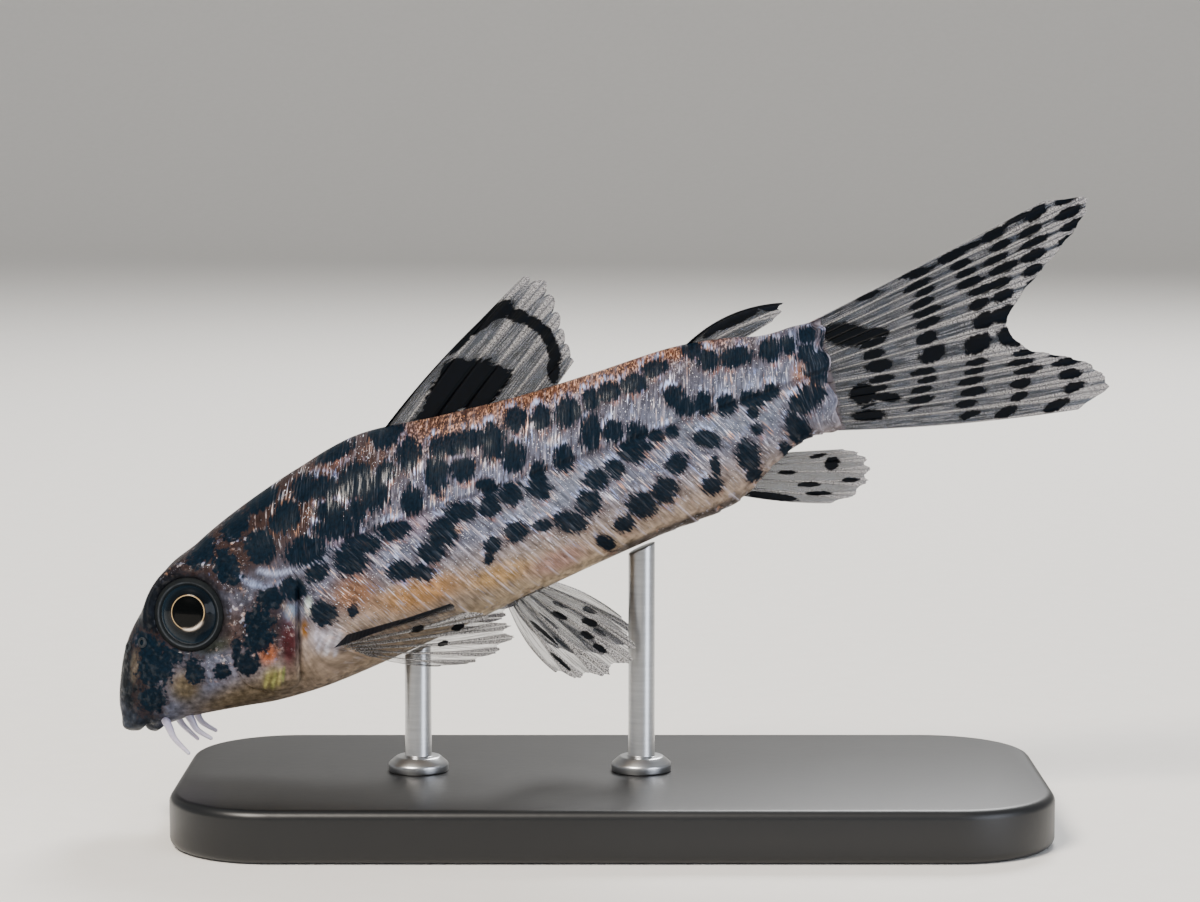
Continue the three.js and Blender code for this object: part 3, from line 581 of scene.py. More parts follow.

# %% [markdown]
# ## Markings
# The species' spots were read off and are kept as rows: where each one is, its half length and
# half height, and its lean. They only give a soft field over the skin. The shader later breaks their
# edges into streaks that run with the plates, which no drawn ellipse could do. Behind the head the right
# side's spots are shifted a little, because no two sides of an animal are alike. The same rows, moved up
# and down, mark a rim above and below each of these spots, which the material fills with glints.

# %% Spots as rows of numbers
BACK_SPOTS = [
    (11.4, 6.1, 0.76, 0.23, 2), (13.5, 6.0, 0.57, 0.42, 7), (10.6, 5.1, 0.61, 0.34, -8),
    (11.8, 4.9, 0.61, 0.53, 17), (12.3, 4.2, 0.46, 0.61, -23), (13.0, 4.8, 0.3, 0.34, -23),
    (14.0, 5.0, 0.42, 0.49, -23), (15.1, 4.8, 0.3, 0.34, -3), (15.7, 4.7, 0.84, 0.34, -11),
    (16.4, 4.6, 0.53, 0.3, -13), (17.1, 4.2, 0.38, 0.61, -23), (17.6, 3.4, 0.42, 0.49, -23),
    (18.2, 4.6, 0.38, 0.38, -23), (19.1, 4.3, 0.34, 0.38, -23), (20.1, 4.1, 0.42, 0.49, -23),
    (19.3, 2.6, 0.34, 0.46, -23), (18.2, 2.5, 0.27, 0.42, -23), (20.6, 3.1, 0.34, 0.61, -23),
    (21.4, 2.8, 0.34, 0.38, -13), (21.1, 4.2, 0.3, 0.34, -3), (21.8, 4.2, 0.38, 0.3, -13),
    (22.8, 4.1, 0.46, 0.3, -8), (14.7, 3.9, 0.38, 0.61, -23), (15.7, 3.7, 0.42, 0.38, -13),
    (16.3, 2.8, 0.38, 0.23, -38), (13.5, 3.4, 0.38, 0.46, -23), (10.6, 4.2, 0.53, 0.38, -23),
    (11.5, 3.9, 0.3, 0.38, -23), (10.6, 3.6, 0.84, 0.38, -13),
]
FLANK_SPOTS = [
    (17.0, 2.2, 0.38, 0.38, -43), (18.0, 1.9, 0.42, 0.34, -38), (15.0, 2.3, 0.57, 0.34, -18),
    (16.1, 2.1, 0.34, 0.38, -53), (12.4, 2.7, 0.61, 0.3, -13), (11.2, 2.7, 0.61, 0.34, -23),
    (14.1, 1.9, 0.46, 0.53, -23), (13.4, 1.4, 0.42, 0.38, -23), (12.1, 1.2, 0.42, 0.34, -23),
    (12.8, 0.8, 0.38, 0.27, -43), (16.6, 0.8, 0.42, 0.34, -13), (17.6, 0.6, 0.3, 0.19, -23),
    (18.6, 0.3, 0.57, 0.34, -33), (19.5, 0.7, 0.42, 0.42, -53), (20.1, 1.4, 0.42, 0.34, -23),
    (20.9, 1.5, 0.34, 0.3, -53), (15.6, 0.7, 0.27, 0.3, -63), (15.3, 0.3, 0.15, 0.23, -53),
    (10.6, 2.3, 0.55, 0.5, -13),
]
TAIL_SPOTS = [
    (24.0, 3.1, 0.38, 0.34, -33), (24.2, 2.6, 0.34, 0.34, -23), (24.9, 2.4, 0.34, 0.38, -23),
    (25.7, 2.0, 0.34, 0.34, -23), (26.7, 1.8, 0.46, 0.3, -23), (27.4, 1.8, 0.3, 0.27, -3),
    (26.5, 1.4, 0.19, 0.23, -53), (25.3, 4.4, 0.38, 0.3, 7), (25.7, 3.8, 0.38, 0.34, -23),
    (26.7, 3.5, 0.61, 0.3, -13), (28.0, 3.2, 0.38, 0.38, -23), (28.7, 3.1, 0.27, 0.3, -3),
    (29.2, 2.6, 0.3, 0.38, -33), (29.4, 2.0, 0.46, 0.46, -43), (28.8, 1.1, 0.46, 0.38, -23),
    (28.3, 0.9, 0.46, 0.34, -23), (27.8, 0.1, 0.38, 0.61, 7), (27.1, -0.5, 0.19, 0.3, 12),
    (26.4, 0.7, 0.23, 0.19, -43), (22.1, 2.3, 0.38, 0.42, -23), (22.8, 2.0, 0.3, 0.23, -23),
    (23.4, 1.9, 0.23, 0.23, -23), (22.3, 1.8, 0.27, 0.15, -23), (21.7, 1.8, 0.46, 0.34, -58),
    (23.1, 0.7, 0.34, 0.38, -53), (24.5, 1.1, 0.46, 0.3, -43), (22.3, 0.0, 0.42, 0.46, -53),
    (21.3, -0.2, 0.53, 0.42, -33), (20.4, -0.6, 0.34, 0.3, -3), (25.7, -0.1, 0.38, 0.57, -3),
    (25.6, -0.9, 0.3, 0.23, -23), (24.4, 0.0, 0.15, 0.38, -8), (24.0, -0.6, 0.34, 0.3, -23),
    (19.5, -1.0, 0.38, 0.23, -63), (23.7, 4.3, 0.5, 0.25, -5), (29.5, 3.2, 0.3, 0.3, 0),
    (29.3, 1.5, 0.3, 0.3, 0),
    (30.25, 2.65, 0.42, 0.42, -10), (30.15, 0.2, 0.32, 0.42, -20), (29.95, -0.85, 0.4, 0.24, -20),
]
HEAD_SPOTS = [
    (2.07, 1.28, 0.78, 0.64, 52), (1.39, 0.13, 0.56, 0.46, 37), (2.08, 2.12, 0.62, 0.36, -43),
    (2.88, 1.36, 0.3, 0.26, -43), (3.41, 0.53, 0.33, 0.5, -18), (4.33, 0.11, 0.31, 0.28, -23),
    (5.21, 0.67, 0.16, 0.62, -23), (5.39, 0.05, 0.42, 0.38, -3), (6.2, 0.75, 0.6, 0.45, 7),
    (6.5, 1.4, 0.55, 0.5, 20), (7.2, 2.05, 0.5, 0.4, 0), (8.86, 0.79, 0.46, 0.44, -3),
    (9.9, 0.41, 0.18, 0.22, -23),
    (6.15, 3.67, 0.5, 0.66, 7), (7.63, 3.93, 0.55, 0.55, -3), (9.18, 3.16, 0.77, 0.5, -8),
    (8.21, 2.02, 0.5, 0.39, -23), (9.27, 2.28, 0.42, 0.31, 2), (5.4, 4.5, 0.6, 0.35, 27),
    (6.9, 4.9, 0.6, 0.4, 17), (8.9, 4.6, 0.6, 0.53, 7), (8.2, 5.4, 0.7, 0.3, 12), (9.9, 5.2, 0.5, 0.45, -3),
]


def spot_field(s, h, spots, grow=1.0):
    """1 in the middle of a spot, 0 at its edge and below 0 outside, for the nearest spot."""
    field = np.full(np.shape(s), -1.0)
    for spot_s, spot_h, half_s, half_h, lean in spots:
        turn = math.radians(lean)
        ds, dh = s - spot_s, h - spot_h
        a = (ds * math.cos(turn) + dh * math.sin(turn)) / (half_s * grow)
        b = (dh * math.cos(turn) - ds * math.sin(turn)) / (half_h * grow)
        field = np.maximum(field, 1 - np.sqrt(a * a + b * b))
    return field


SPOT_GROWTH, HEAD_SPOT_GROWTH, RIM_GROWTH, RIM_SHIFT = 1.34, 1.25, 1.2, 0.3
far = side > 0
spot_s = s + far * (0.35 + 0.2 * np.sin(1.3 * h))
spot_h = h + 0.12 + far * 0.15 * np.sin(1.1 * s)
ALL_SPOTS = BACK_SPOTS + FLANK_SPOTS + TAIL_SPOTS
spots = np.maximum(spot_field(spot_s, spot_h, ALL_SPOTS, SPOT_GROWTH),
                   spot_field(s, h, HEAD_SPOTS, HEAD_SPOT_GROWTH))
outside = 1 - smooth(0.0, 0.3, spots)
above, below = (outside * smooth(-0.05, 0.4, spot_field(spot_s, spot_h + shift, ALL_SPOTS, RIM_GROWTH))
                for shift in (-RIM_SHIFT, RIM_SHIFT))
print("spots", len(ALL_SPOTS) + len(HEAD_SPOTS))

# %% [markdown]
# ## The ground colour
# Under the spots the skin changes slowly from one place to the next: slate on the head, coppery along the
# back, silvery lilac on the flank, cream below. A few named patches, each a soft ellipse, lay these down
# on the vertices, as an airbrush would on a cast model before the fine work. Thin lines then pick out the
# skull's ridges, the gill cover's rim, gold strokes on the cheek and pale ones on the shield.

# %% Patches of ground colour
PATCHES = {
    # s, h, half length, half height, lean, colour, strength
    "forehead slate": (2.8, 3.2, 4.4, 1.8, 45, "#191e25", 1.0),
    "head top brown": (7.2, 4.5, 4.6, 2.4, 12, "#332b2b", 1.0),
    "face mask": (0.9, 1.0, 1.5, 3.0, -8, "#191e24", 1.0),
    "mouth slate": (0.4, -0.6, 1.3, 0.8, 0, "#20252d", 1.0),
    "snout freckles": (1.27, 1.5, 0.25, 0.8, -28, "#6f695f", 0.8),
    "nostril blue": (1.77, 2.36, 0.25, 0.22, -23, "#77839a", 0.8),
    "cheek pink grey": (5.4, 1.5, 1.2, 1.3, 0, "#564b4a", 1.0),
    "below the eye": (4.4, 1.2, 1.0, 0.45, -10, "#474a3c", 0.9),
    "face tan": (2.8, 0.1, 0.9, 1.0, -20, "#6a6153", 1.0),
    "lower face tan": (4.8, -1.2, 3.4, 0.9, -3, "#7c7060", 1.0),
    "gill cover dark": (6.7, 1.2, 1.3, 1.4, 7, "#26232a", 1.0),
    "gill cover freckles": (6.84, 2.0, 0.4, 0.4, -23, "#7a6a68", 0.7),
    "gill cover top": (7.5, 1.8, 0.55, 0.6, 22, "#3c3a44", 0.8),
    "copper cheek": (6.3, 0.14, 0.6, 0.5, 37, "#a8705a", 1.0),
    "green gold cheek": (6.05, -0.75, 0.6, 0.45, 37, "#87805a", 0.9),
    "gill membrane": (7.2, 0.2, 0.5, 1.45, -26, "#4f3033", 1.0),
    "gill sheen": (7.76, 1.32, 0.28, 0.42, -23, "#8595aa", 0.9),
    "shield silver": (8.6, -0.2, 0.85, 0.75, -8, "#b5b0b8", 0.9),
    "shield ochre": (7.95, 0.46, 0.2, 0.5, -23, "#936b42", 1.0),
    "shield glint": (8.47, 1.25, 0.2, 0.42, -23, "#e4f2ea", 1.0),
    "shoulder peach": (10.2, 1.0, 1.3, 1.0, -10, "#8a6a55", 0.9),
    "shoulder brown": (11.0, 4.6, 3.4, 1.5, 6, "#4b3932", 1.0),
    "belly cream": (15.0, -1.7, 8.0, 0.9, 0, "#cdb9a0", 0.9),
    "peach flank": (12.4, 0.0, 2.4, 0.8, -6, "#bd9670", 0.9),
    "orange belly edge": (15.4, -0.6, 1.8, 0.6, -5, "#c5a47c", 0.85),
    "lilac patch front": (10.8, 3.0, 1.0, 0.45, -10, "#9a93a8", 0.8),
    "lilac patch middle": (13.2, 2.5, 1.2, 0.6, -10, "#a397a6", 0.8),
    "silver flank rear": (18.5, 1.6, 4.0, 1.2, -5, "#898e9c", 0.8),
    "tail silver": (25.5, 1.5, 3.6, 1.3, -8, "#808694", 0.8),
    "tail peach": (28.9, 1.7, 0.7, 0.8, 0, "#b88a70", 0.8),
    "tail blue": (28.9, 3.1, 0.9, 0.5, 0, "#7f8ba8", 0.7),
    "tail root glint": (29.5, 2.0, 0.35, 1.4, 0, "#a9b2cc", 0.8),
    "pelvic pink": (17.6, -1.0, 1.6, 0.6, 0, "#b4968c", 0.9),
    "ridge front": (14.6, 5.6, 2.2, 0.5, -8, "#45332d", 0.9),
    "ridge middle": (19.0, 5.0, 3.4, 0.5, -8, "#503528", 0.9),
    "ridge rear": (24.5, 4.5, 2.8, 0.5, -6, "#5a3a2c", 0.9),
}
LINES = [
    # a bow of s, h points, half width, colour
    (((7.6, 1.75), (7.78, 0.9), (7.72, 0.0), (7.5, -0.7)), 0.05, "#b3a59c"),
    (SKULL_RIDGES[0], 0.09, "#a9b6d6"), (SKULL_RIDGES[1], 0.09, "#b4bcd6"),
    (((5.62, -0.98), (5.95, -0.62)), 0.06, "#c9c48a"), (((5.85, -1.12), (6.22, -0.68)), 0.06, "#b4b57e"),
    (((6.12, -1.1), (6.45, -0.62)), 0.05, "#d6cc92"), (((6.35, -0.98), (6.6, -0.62)), 0.05, "#aab27c"),
    (((8.25, -0.7), (8.85, 0.05)), 0.06, "#e8e6ee"), (((8.05, -0.45), (8.6, 0.2)), 0.05, "#dcdae6"),
    (((8.55, -0.85), (9.1, -0.15)), 0.06, "#e2dee6"), (((8.15, -0.1), (8.45, 0.45)), 0.05, "#d3cfdc"),
]
GROUND = {"back": "#4c4548", "side": "#737685", "belly": "#b8a696"}
EYELID, LIPS, BELLY_LINE = "#14181e", "#2b3039", "#181c24"
RICHER, DARKER = 1.3, 0.62  # the render pales and greys the paint, so it starts richer and darker


def painted(colour, share, code):
    """The colours with another laid over them, as strongly as each share says."""
    share = share[:, None]
    return colour * (1 - share) + np.array(rgb(code)[:3]) * share


high, low = smooth(0.3, 2.6, rise), 1 - smooth(-3.6, -1.2, rise)
flank_share = ((1 - high) * (1 - low))[:, None]
back, middle, belly = (np.array(rgb(GROUND[key])[:3]) for key in ("back", "side", "belly"))
colour = middle * flank_share + back * high[:, None] + belly * low[:, None]
for *ellipse, code, strength in PATCHES.values():
    colour = painted(colour, smooth(-0.1, 0.75, spot_field(s, h, [ellipse])) * strength, code)
for bow, half_width, code in LINES:
    away = distance_to(np.stack([s, h], 1), np.array(bow))
    colour = painted(colour, np.exp(-(away / half_width) ** 2), code)
eyelid = 1 - smooth(1.5, 1.95, eye_near)
colour = painted(colour, 0.75 * eyelid, EYELID)
grey = colour.mean(1, keepdims=True)
colour = np.clip(grey + RICHER * (colour - grey), 0.004, 1) * DARKER
belly_line = smooth(150, 158, from_back) * smooth(18.5, 20, s) * (1 - smooth(24.5, 25.5, s))
colour = painted(colour, 0.8 * belly_line, BELLY_LINE)
lips = np.maximum(np.exp(-(to_upper / 0.3) ** 2), np.exp(-(to_lower / 0.22) ** 2))
colour = painted(colour, lips, LIPS)
note(skin, "ground", np.concatenate([colour, np.ones((len(s), 1))], 1), "FLOAT_COLOR")

# %% What the skin's material reads
u = np.where(on_plates, PLATE_START + value * PITCH,
             s_line - CHEVRON * np.abs(rise) * smooth(7, 10, s_line))
# shine marks where the material lays its painted silver sheen and sparks
shine = smooth(7.6, 8.8, s) * (1 - smooth(29, 30, s)) * (0.3 + 0.7 * smooth(-3.4, -2.2, rise))
on_face = smooth(-0.5, 0.4, h) * smooth(2.6, 4.0, s) * (1 - smooth(7.6, 8.8, s)) * (1 - eyelid)
shine = np.maximum(shine, 0.45 * on_face)
note(skin, "lay", np.stack([u, rise, side * 20.0], 1), "FLOAT_VECTOR")
note(skin, "rims", np.stack([above, below, np.zeros(len(s))], 1), "FLOAT_VECTOR")
for name, values in {
    "spots": spots,
    "plate": plate_share,
    "armour": on_plates * plate_weight,
    "shine": shine,
    "copper": smooth(1.6, 2.6, rise) * smooth(12.5, 15, s) * (1 - smooth(27, 29, s)),
    "plain": np.maximum(1 - smooth(6.6, 8.6, s), smooth(138, 156, from_back)),
    "side_seam": np.where(on_plates, 1 - seam, 0),
}.items():
    note(skin, name, values)
print("ground colours", len(PATCHES))

# %% [markdown]
# ## Wet armoured skin
# A live corydoras has bone under a thin wet skin. The eye sees three things at once: blue-black pigment
# in ragged spots, tiny silver-blue and copper glints, and a clear wet gloss over all of it. The glints
# and the silver and copper sheen are painted highlights, laid into the base colour where noises put them,
# and the silver streaks are also made partly metallic. The material lays these in that order. Its noises
# are stretched along the plates, so every edge breaks up in the plates' own direction.

# %% The skin's material
wet_skin, tree, shader = material("wet_armoured_skin")
read = {name: add(tree, "Attribute", attribute_name=name) for name in
        ("ground", "spots", "lay", "plate", "armour", "shine", "copper", "side_seam", "plain", "rims")}
ground, lay = read["ground"].outputs["Color"], read["lay"].outputs["Vector"]
spots_in, plate_in, armour, shine_in, copper_in, seam_in, plain_in = (
    read[name].outputs["Fac"] for name in
    ("spots", "plate", "armour", "shine", "copper", "side_seam", "plain"))
object_at = add(tree, "TexCoord").outputs["Object"]


def plate_noise(along, across, detail=3.0, shift=0.0):
    """Noise that runs with the plates, waves for each mm across and along them, and even on bare skin."""
    laid = add(tree, "Mapping", {"Vector": lay, "Scale": (along, across, 1.0),
                                 "Location": (shift, shift, 0)})
    run = add(tree, "TexNoise", {"Vector": laid, "Scale": 1.0, "Detail": detail})
    even_scale = 1000 * math.sqrt(along * across)
    even = add(tree, "TexNoise", {"Vector": object_at, "Scale": even_scale, "Detail": detail + 1})
    return add(tree, "Mix", {0: plain_in, 2: run, 3: even}, data_type="FLOAT")


streaks = plate_noise(13.0, 2.0, 2.0)
flecks = plate_noise(11.0, 7.0, 2.0, 7.0)
torn = add(tree, "Math", {0: streaks, 1: 1.5, 2: -0.75}, operation="MULTIPLY_ADD")
fine_torn = add(tree, "Math", {0: flecks, 1: 0.5, 2: torn}, operation="MULTIPLY_ADD")
ragged = add(tree, "Math", {0: spots_in, 1: fine_torn}, operation="ADD")
dark = add(tree, "MapRange", {"Value": ragged, "From Min": 0.2, "From Max": 0.5},
           interpolation_type="SMOOTHSTEP")
halo = add(tree, "MapRange", {"Value": ragged, "From Min": -0.15, "From Max": 0.35},
           interpolation_type="SMOOTHSTEP")

mottle = add(tree, "MapRange", {"Value": plate_noise(5.0, 2.6, 4.0, 3.0),
                                "From Min": 0.3, "From Max": 0.7, "To Min": 0.55, "To Max": 1.35})
fine_lines = add(tree, "MapRange", {"Value": plate_noise(15.0, 1.3, 2.0, 83.0),
                                    "From Min": 0.3, "From Max": 0.7, "To Min": 0.6, "To Max": 1.35})
mottle = add(tree, "Math", {0: mottle, 1: fine_lines}, operation="MULTIPLY")
body_colour = add(tree, "MixRGB", {"Fac": 1.0, "Color1": ground, "Color2": mottle}, blend_type="MULTIPLY")
shadow = add(tree, "MixRGB", {"Fac": add(tree, "Math", {0: halo, 1: 0.45}, operation="MULTIPLY"),
                              "Color1": body_colour, "Color2": rgb("#3a2a26")})

# Painted sheen: silver-blue streaks laid into the base colour where the shine mask allows; they are also
# made partly metallic further down.
hairs = add(tree, "MapRange", {"Value": plate_noise(17.0, 1.5, 2.0, 53.0),
                               "From Min": 0.54, "From Max": 0.66}, interpolation_type="SMOOTHSTEP")
patches = add(tree, "MapRange", {"Value": plate_noise(1.5, 1.0, 2.0, 61.0),
                                 "From Min": 0.42, "From Max": 0.6})
silver = add(tree, "Math", {0: hairs, 1: patches}, operation="MULTIPLY")
silver = add(tree, "Math", {0: silver, 1: shine_in}, operation="MULTIPLY")
tone = add(tree, "ValToRGB", {"Fac": plate_noise(2.3, 1.2, 2.0, 19.0)},
           stops=((0.38, "#93a6e0"), (0.5, "#f0edf6"), (0.62, "#e3a885")))
copper_tone = add(tree, "ValToRGB", {"Fac": plate_noise(5.0, 3.0, 3.0, 23.0)},
                  stops=((0.36, "#3a231b"), (0.64, "#dba78e")))
sheen = add(tree, "MixRGB", {"Fac": copper_in, "Color1": tone, "Color2": copper_tone})
# Painted sheen as well: copper specks along the back's ridge, mixed into the same sheen colour.
copper_sheen_specks = add(tree, "MapRange", {"Value": plate_noise(15.0, 9.0, 2.0, 71.0),
                              "From Min": 0.48, "From Max": 0.62})
copper_sheen_specks = add(tree, "Math", {0: copper_sheen_specks, 1: copper_in}, operation="MULTIPLY")
shining = add(tree, "Math", {0: silver, 1: copper_sheen_specks}, operation="MAXIMUM")
lit = add(tree, "MixRGB", {"Fac": add(tree, "Math", {0: shining, 1: 0.85}, operation="MULTIPLY"),
                           "Color1": shadow, "Color2": sheen})

rims = add(tree, "SeparateXYZ", {0: read["rims"].outputs["Vector"]})
glint = add(tree, "MapRange", {"Value": plate_noise(9.0, 3.0, 3.0, 47.0),
                               "From Min": 0.45, "From Max": 0.62})
glint = add(tree, "Math", {0: glint, 1: patches}, operation="MULTIPLY")
glint_above = add(tree, "Math", {0: glint, 1: rims.outputs[0]}, operation="MULTIPLY")
glint_below = add(tree, "Math", {0: glint, 1: rims.outputs[1]}, operation="MULTIPLY")
glint_below = add(tree, "Math", {0: glint_below, 1: 0.45}, operation="MULTIPLY")
lit = add(tree, "MixRGB", {"Fac": glint_above, "Color1": lit, "Color2": rgb("#b7c8f8")})
lit = add(tree, "MixRGB", {"Fac": glint_below, "Color1": lit, "Color2": rgb("#a9705a")})
edge = add(tree, "MapRange", {"Value": plate_in, "From Min": 0.82, "From Max": 0.96},
           interpolation_type="SMOOTHSTEP")
broken = add(tree, "MapRange", {"Value": plate_noise(2.0, 1.6, 3.0, 91.0),
                                "From Min": 0.4, "From Max": 0.6, "To Min": 0.0, "To Max": 0.55})
edge = add(tree, "Math", {0: edge, 1: armour}, operation="MULTIPLY")
edge = add(tree, "Math", {0: edge, 1: broken}, operation="MULTIPLY")
edged = add(tree, "MixRGB", {"Fac": edge, "Color1": lit, "Color2": rgb("#c9c2d0")})
# Painted shade: the skin is darkened to brown in the groove along the side line, where the two rows of
# plates meet.
painted_groove_shade = add(tree, "Math", {0: seam_in, 1: 0.4}, operation="MULTIPLY")
groove_shaded = add(tree, "MixRGB", {"Fac": painted_groove_shade, "Color1": edged, "Color2": rgb("#2c2226")})
ink = add(tree, "MixRGB", {"Fac": flecks, "Color1": rgb("#010203"), "Color2": rgb("#0a1f2e")})
ink_fac = add(tree, "Math", {0: dark, 1: 0.97}, operation="MULTIPLY")
marked = add(tree, "MixRGB", {"Fac": ink_fac, "Color1": groove_shaded, "Color2": ink})
spark = add(tree, "MapRange", {"Value": plate_noise(24.0, 14.0, 1.0, 31.0),
                               "From Min": 0.68, "From Max": 0.73})
spark = add(tree, "Math", {0: spark, 1: shine_in}, operation="MULTIPLY")
bare = add(tree, "Math", {0: dark, 1: -1.0, 2: 1.0}, operation="MULTIPLY_ADD")
spark = add(tree, "Math", {0: spark, 1: bare}, operation="MULTIPLY")
spark_tone = add(tree, "MixRGB", {"Fac": copper_in, "Color1": rgb("#eef2ff"), "Color2": rgb("#ffbf87")})
sparkled = add(tree, "MixRGB", {"Fac": spark, "Color1": marked, "Color2": spark_tone})

roughness = add(tree, "MapRange", {"Value": flecks, "To Min": 0.3, "To Max": 0.5})
metal = add(tree, "Math", {0: silver, 1: bare}, operation="MULTIPLY")
metal = add(tree, "Math", {0: metal, 1: 0.45}, operation="MULTIPLY")
wet = add(tree, "MapRange", {"Value": plate_noise(17.0, 1.5, 2.0, 53.0),
                             "From Min": 0.5, "From Max": 0.64, "To Max": 0.3})
grain = add(tree, "TexNoise", {"Vector": object_at, "Scale": 5200.0, "Detail": 2.0})
relief = add(tree, "Math", {0: grain, 1: 0.5, 2: plate_noise(12.0, 1.1, 2.0, 41.0)},
             operation="MULTIPLY_ADD")
bump = add(tree, "Bump", {"Height": relief, "Strength": 0.35, "Distance": 0.00006})
feed(tree, shader, {
    "Base Color": sparkled, "Roughness": roughness, "Metallic": metal, "Specular IOR Level": 0.03,
    "Coat Weight": wet, "Coat Roughness": 0.15, "Subsurface Weight": 0.03,
    "Subsurface Radius": (1.0, 0.55, 0.4), "Subsurface Scale": 0.0004, "Normal": bump})

finish(skin, wet_skin, "skin", "head", "trunk", "tail", "gill_cover_left", "gill_cover_right", crisp=75)

# %% [markdown]
# ## Eyes
# A fish's eye is a ball pressed a little flat, set in the skin with no lashes and hardly a lid. The eye
# sees a black pupil, a thin gold ring round it with a painted white highlight at its bottom, and an almost
# black iris with a blue cast, all under a clear wet cornea. A UV sphere gives the ball, squeezed in edit
# mode, and an attribute that measures how far each point is from the middle of the pupil carries the
# rings. A second attribute places the painted highlight on the ring's lower side.

# %% The eye's material
eye_finish, tree, shader = material("wet_eye_cornea")
radius_in = add(tree, "Attribute", attribute_name="from_pupil").outputs["Fac"]
glint_read = add(tree, "Attribute", attribute_name="painted_pupil_glint").outputs["Fac"]
rings = add(tree, "ValToRGB", {"Fac": radius_in}, stops=(
    (0.0, "#010202"), (0.505, "#010202"), (0.517, "#c4ae8a"), (0.53, "#8a6f48"), (0.545, "#04070a"),
    (0.72, "#080f15"), (0.9, "#14202a"), (0.955, "#1f2d38"), (1.0, "#4a4d52")))
highlighted_rings = add(tree, "MixRGB", {"Fac": glint_read, "Color1": rings, "Color2": rgb("#ffeedd")})
feed(tree, shader, {"Base Color": highlighted_rings, "Roughness": 0.25, "Specular IOR Level": 0.05,
                    "Coat Weight": 0.25, "Coat Roughness": 0.02, "Coat IOR": 1.38})

# %% Two eyeballs
PUPIL_EDGE = 0.53  # of the eye's radius
for eye_name, eye_side in (("left", -1), ("right", 1)):
    spot, look = eye_frame(eye_side)
    clear()
    bpy.ops.mesh.primitive_uv_sphere_add(segments=96, ring_count=64, radius=1.0)
    eye = start("eyeball_" + eye_name)
    bpy.ops.transform.resize(value=(EYE_RADIUS, EYE_RADIUS, EYE_DEPTH))
    bpy.ops.object.mode_set(mode="OBJECT")
    ball = places(eye)
    pupil = (-0.15 * eye_side, 0.08)
    radius = np.linalg.norm(ball[:, :2] - pupil, axis=1) / EYE_RADIUS
    front = ball[:, 2] > 0
    ball[:, 2] += np.where(front, 0.035 * np.exp(-((radius - PUPIL_EDGE) / 0.06) ** 2), 0)
    note(eye, "from_pupil", np.where(front, radius, 1.0))
    # Painted highlight: a near-white glint laid into the colour on the lower side of the pupil's gold ring.
    down = (pupil[1] - ball[:, 1]) / np.maximum(radius, 1e-6)
    ring_highlight = np.exp(-((radius - PUPIL_EDGE) / 0.035) ** 2) * smooth(0.85, 1.25, down)
    note(eye, "painted_pupil_glint", np.where(front, ring_highlight, 0.0))
    place(eye, to_scene(lay_on(spot, look, ball + (0, 0, EYE_BULGE - EYE_DEPTH))))
    finish(eye, eye_finish, "eye", "eye_" + eye_name)

# %% [markdown]
# ## Eyelids
# The skin ends round the eye in a thin fold. It is a torus pressed flat and dropped at its outer side, so
# that it hides the line where ball and skin meet. Its skin is as dark as the face, with hardly any shine,
# and one grey line just inside its crest gives the eye its fine outline.

# %% The fold of skin round each eye
lid_finish, tree, shader = material("wet_eyelid_skin")
ring_in = add(tree, "Attribute", attribute_name="lid").outputs["Fac"]
lid_tone = add(tree, "ValToRGB", {"Fac": ring_in}, stops=(
    (0.0, "#0c1116"), (0.22, "#151c23"), (0.3, "#4d5157"), (0.38, "#12161b"), (0.8, "#0a0c0f"),
    (1.0, "#14171b")))
pores = add(tree, "TexNoise", {"Vector": add(tree, "TexCoord").outputs["Object"], "Scale": 6000.0})
lid_mix = add(tree, "MixRGB", {"Fac": pores, "Color1": lid_tone, "Color2": rgb("#1d1f1f")})
feed(tree, shader, {"Base Color": lid_mix, "Roughness": 0.5, "Specular IOR Level": 0.02})

LID_RADIUS, LID_ROLL = 1.3, 0.22  # mm, round the eye and of the fold itself
for eye_name, eye_side in (("left", -1), ("right", 1)):
    spot, look = eye_frame(eye_side)
    clear()
    bpy.ops.mesh.primitive_torus_add(major_segments=112, minor_segments=28,
                                     major_radius=LID_RADIUS, minor_radius=LID_ROLL)
    lid = start("eyelid_" + eye_name)
    bpy.ops.transform.resize(value=(1, 1, 0.5))
    bpy.ops.object.mode_set(mode="OBJECT")
    ring = places(lid)
    radius = np.linalg.norm(ring[:, :2], axis=1)
    note(lid, "lid", (radius - 1.06) / 0.52)
    ring[:, 2] -= 0.3 + 0.2 * smooth(1.3, 1.58, radius) - 0.03 * np.exp(-((radius - 1.24) / 0.05) ** 2)
    place(lid, to_scene(lay_on(spot, look, ring)))
    finish(lid, lid_finish, "skin")

# %% [markdown]
# ## Nostrils
# Two on each side: the front one a short open tube, the rear one a low rim. A cylinder is inset and its
# inner face pushed down for the opening, then a bevel rounds the rims. They wear the eyelid's dark skin.

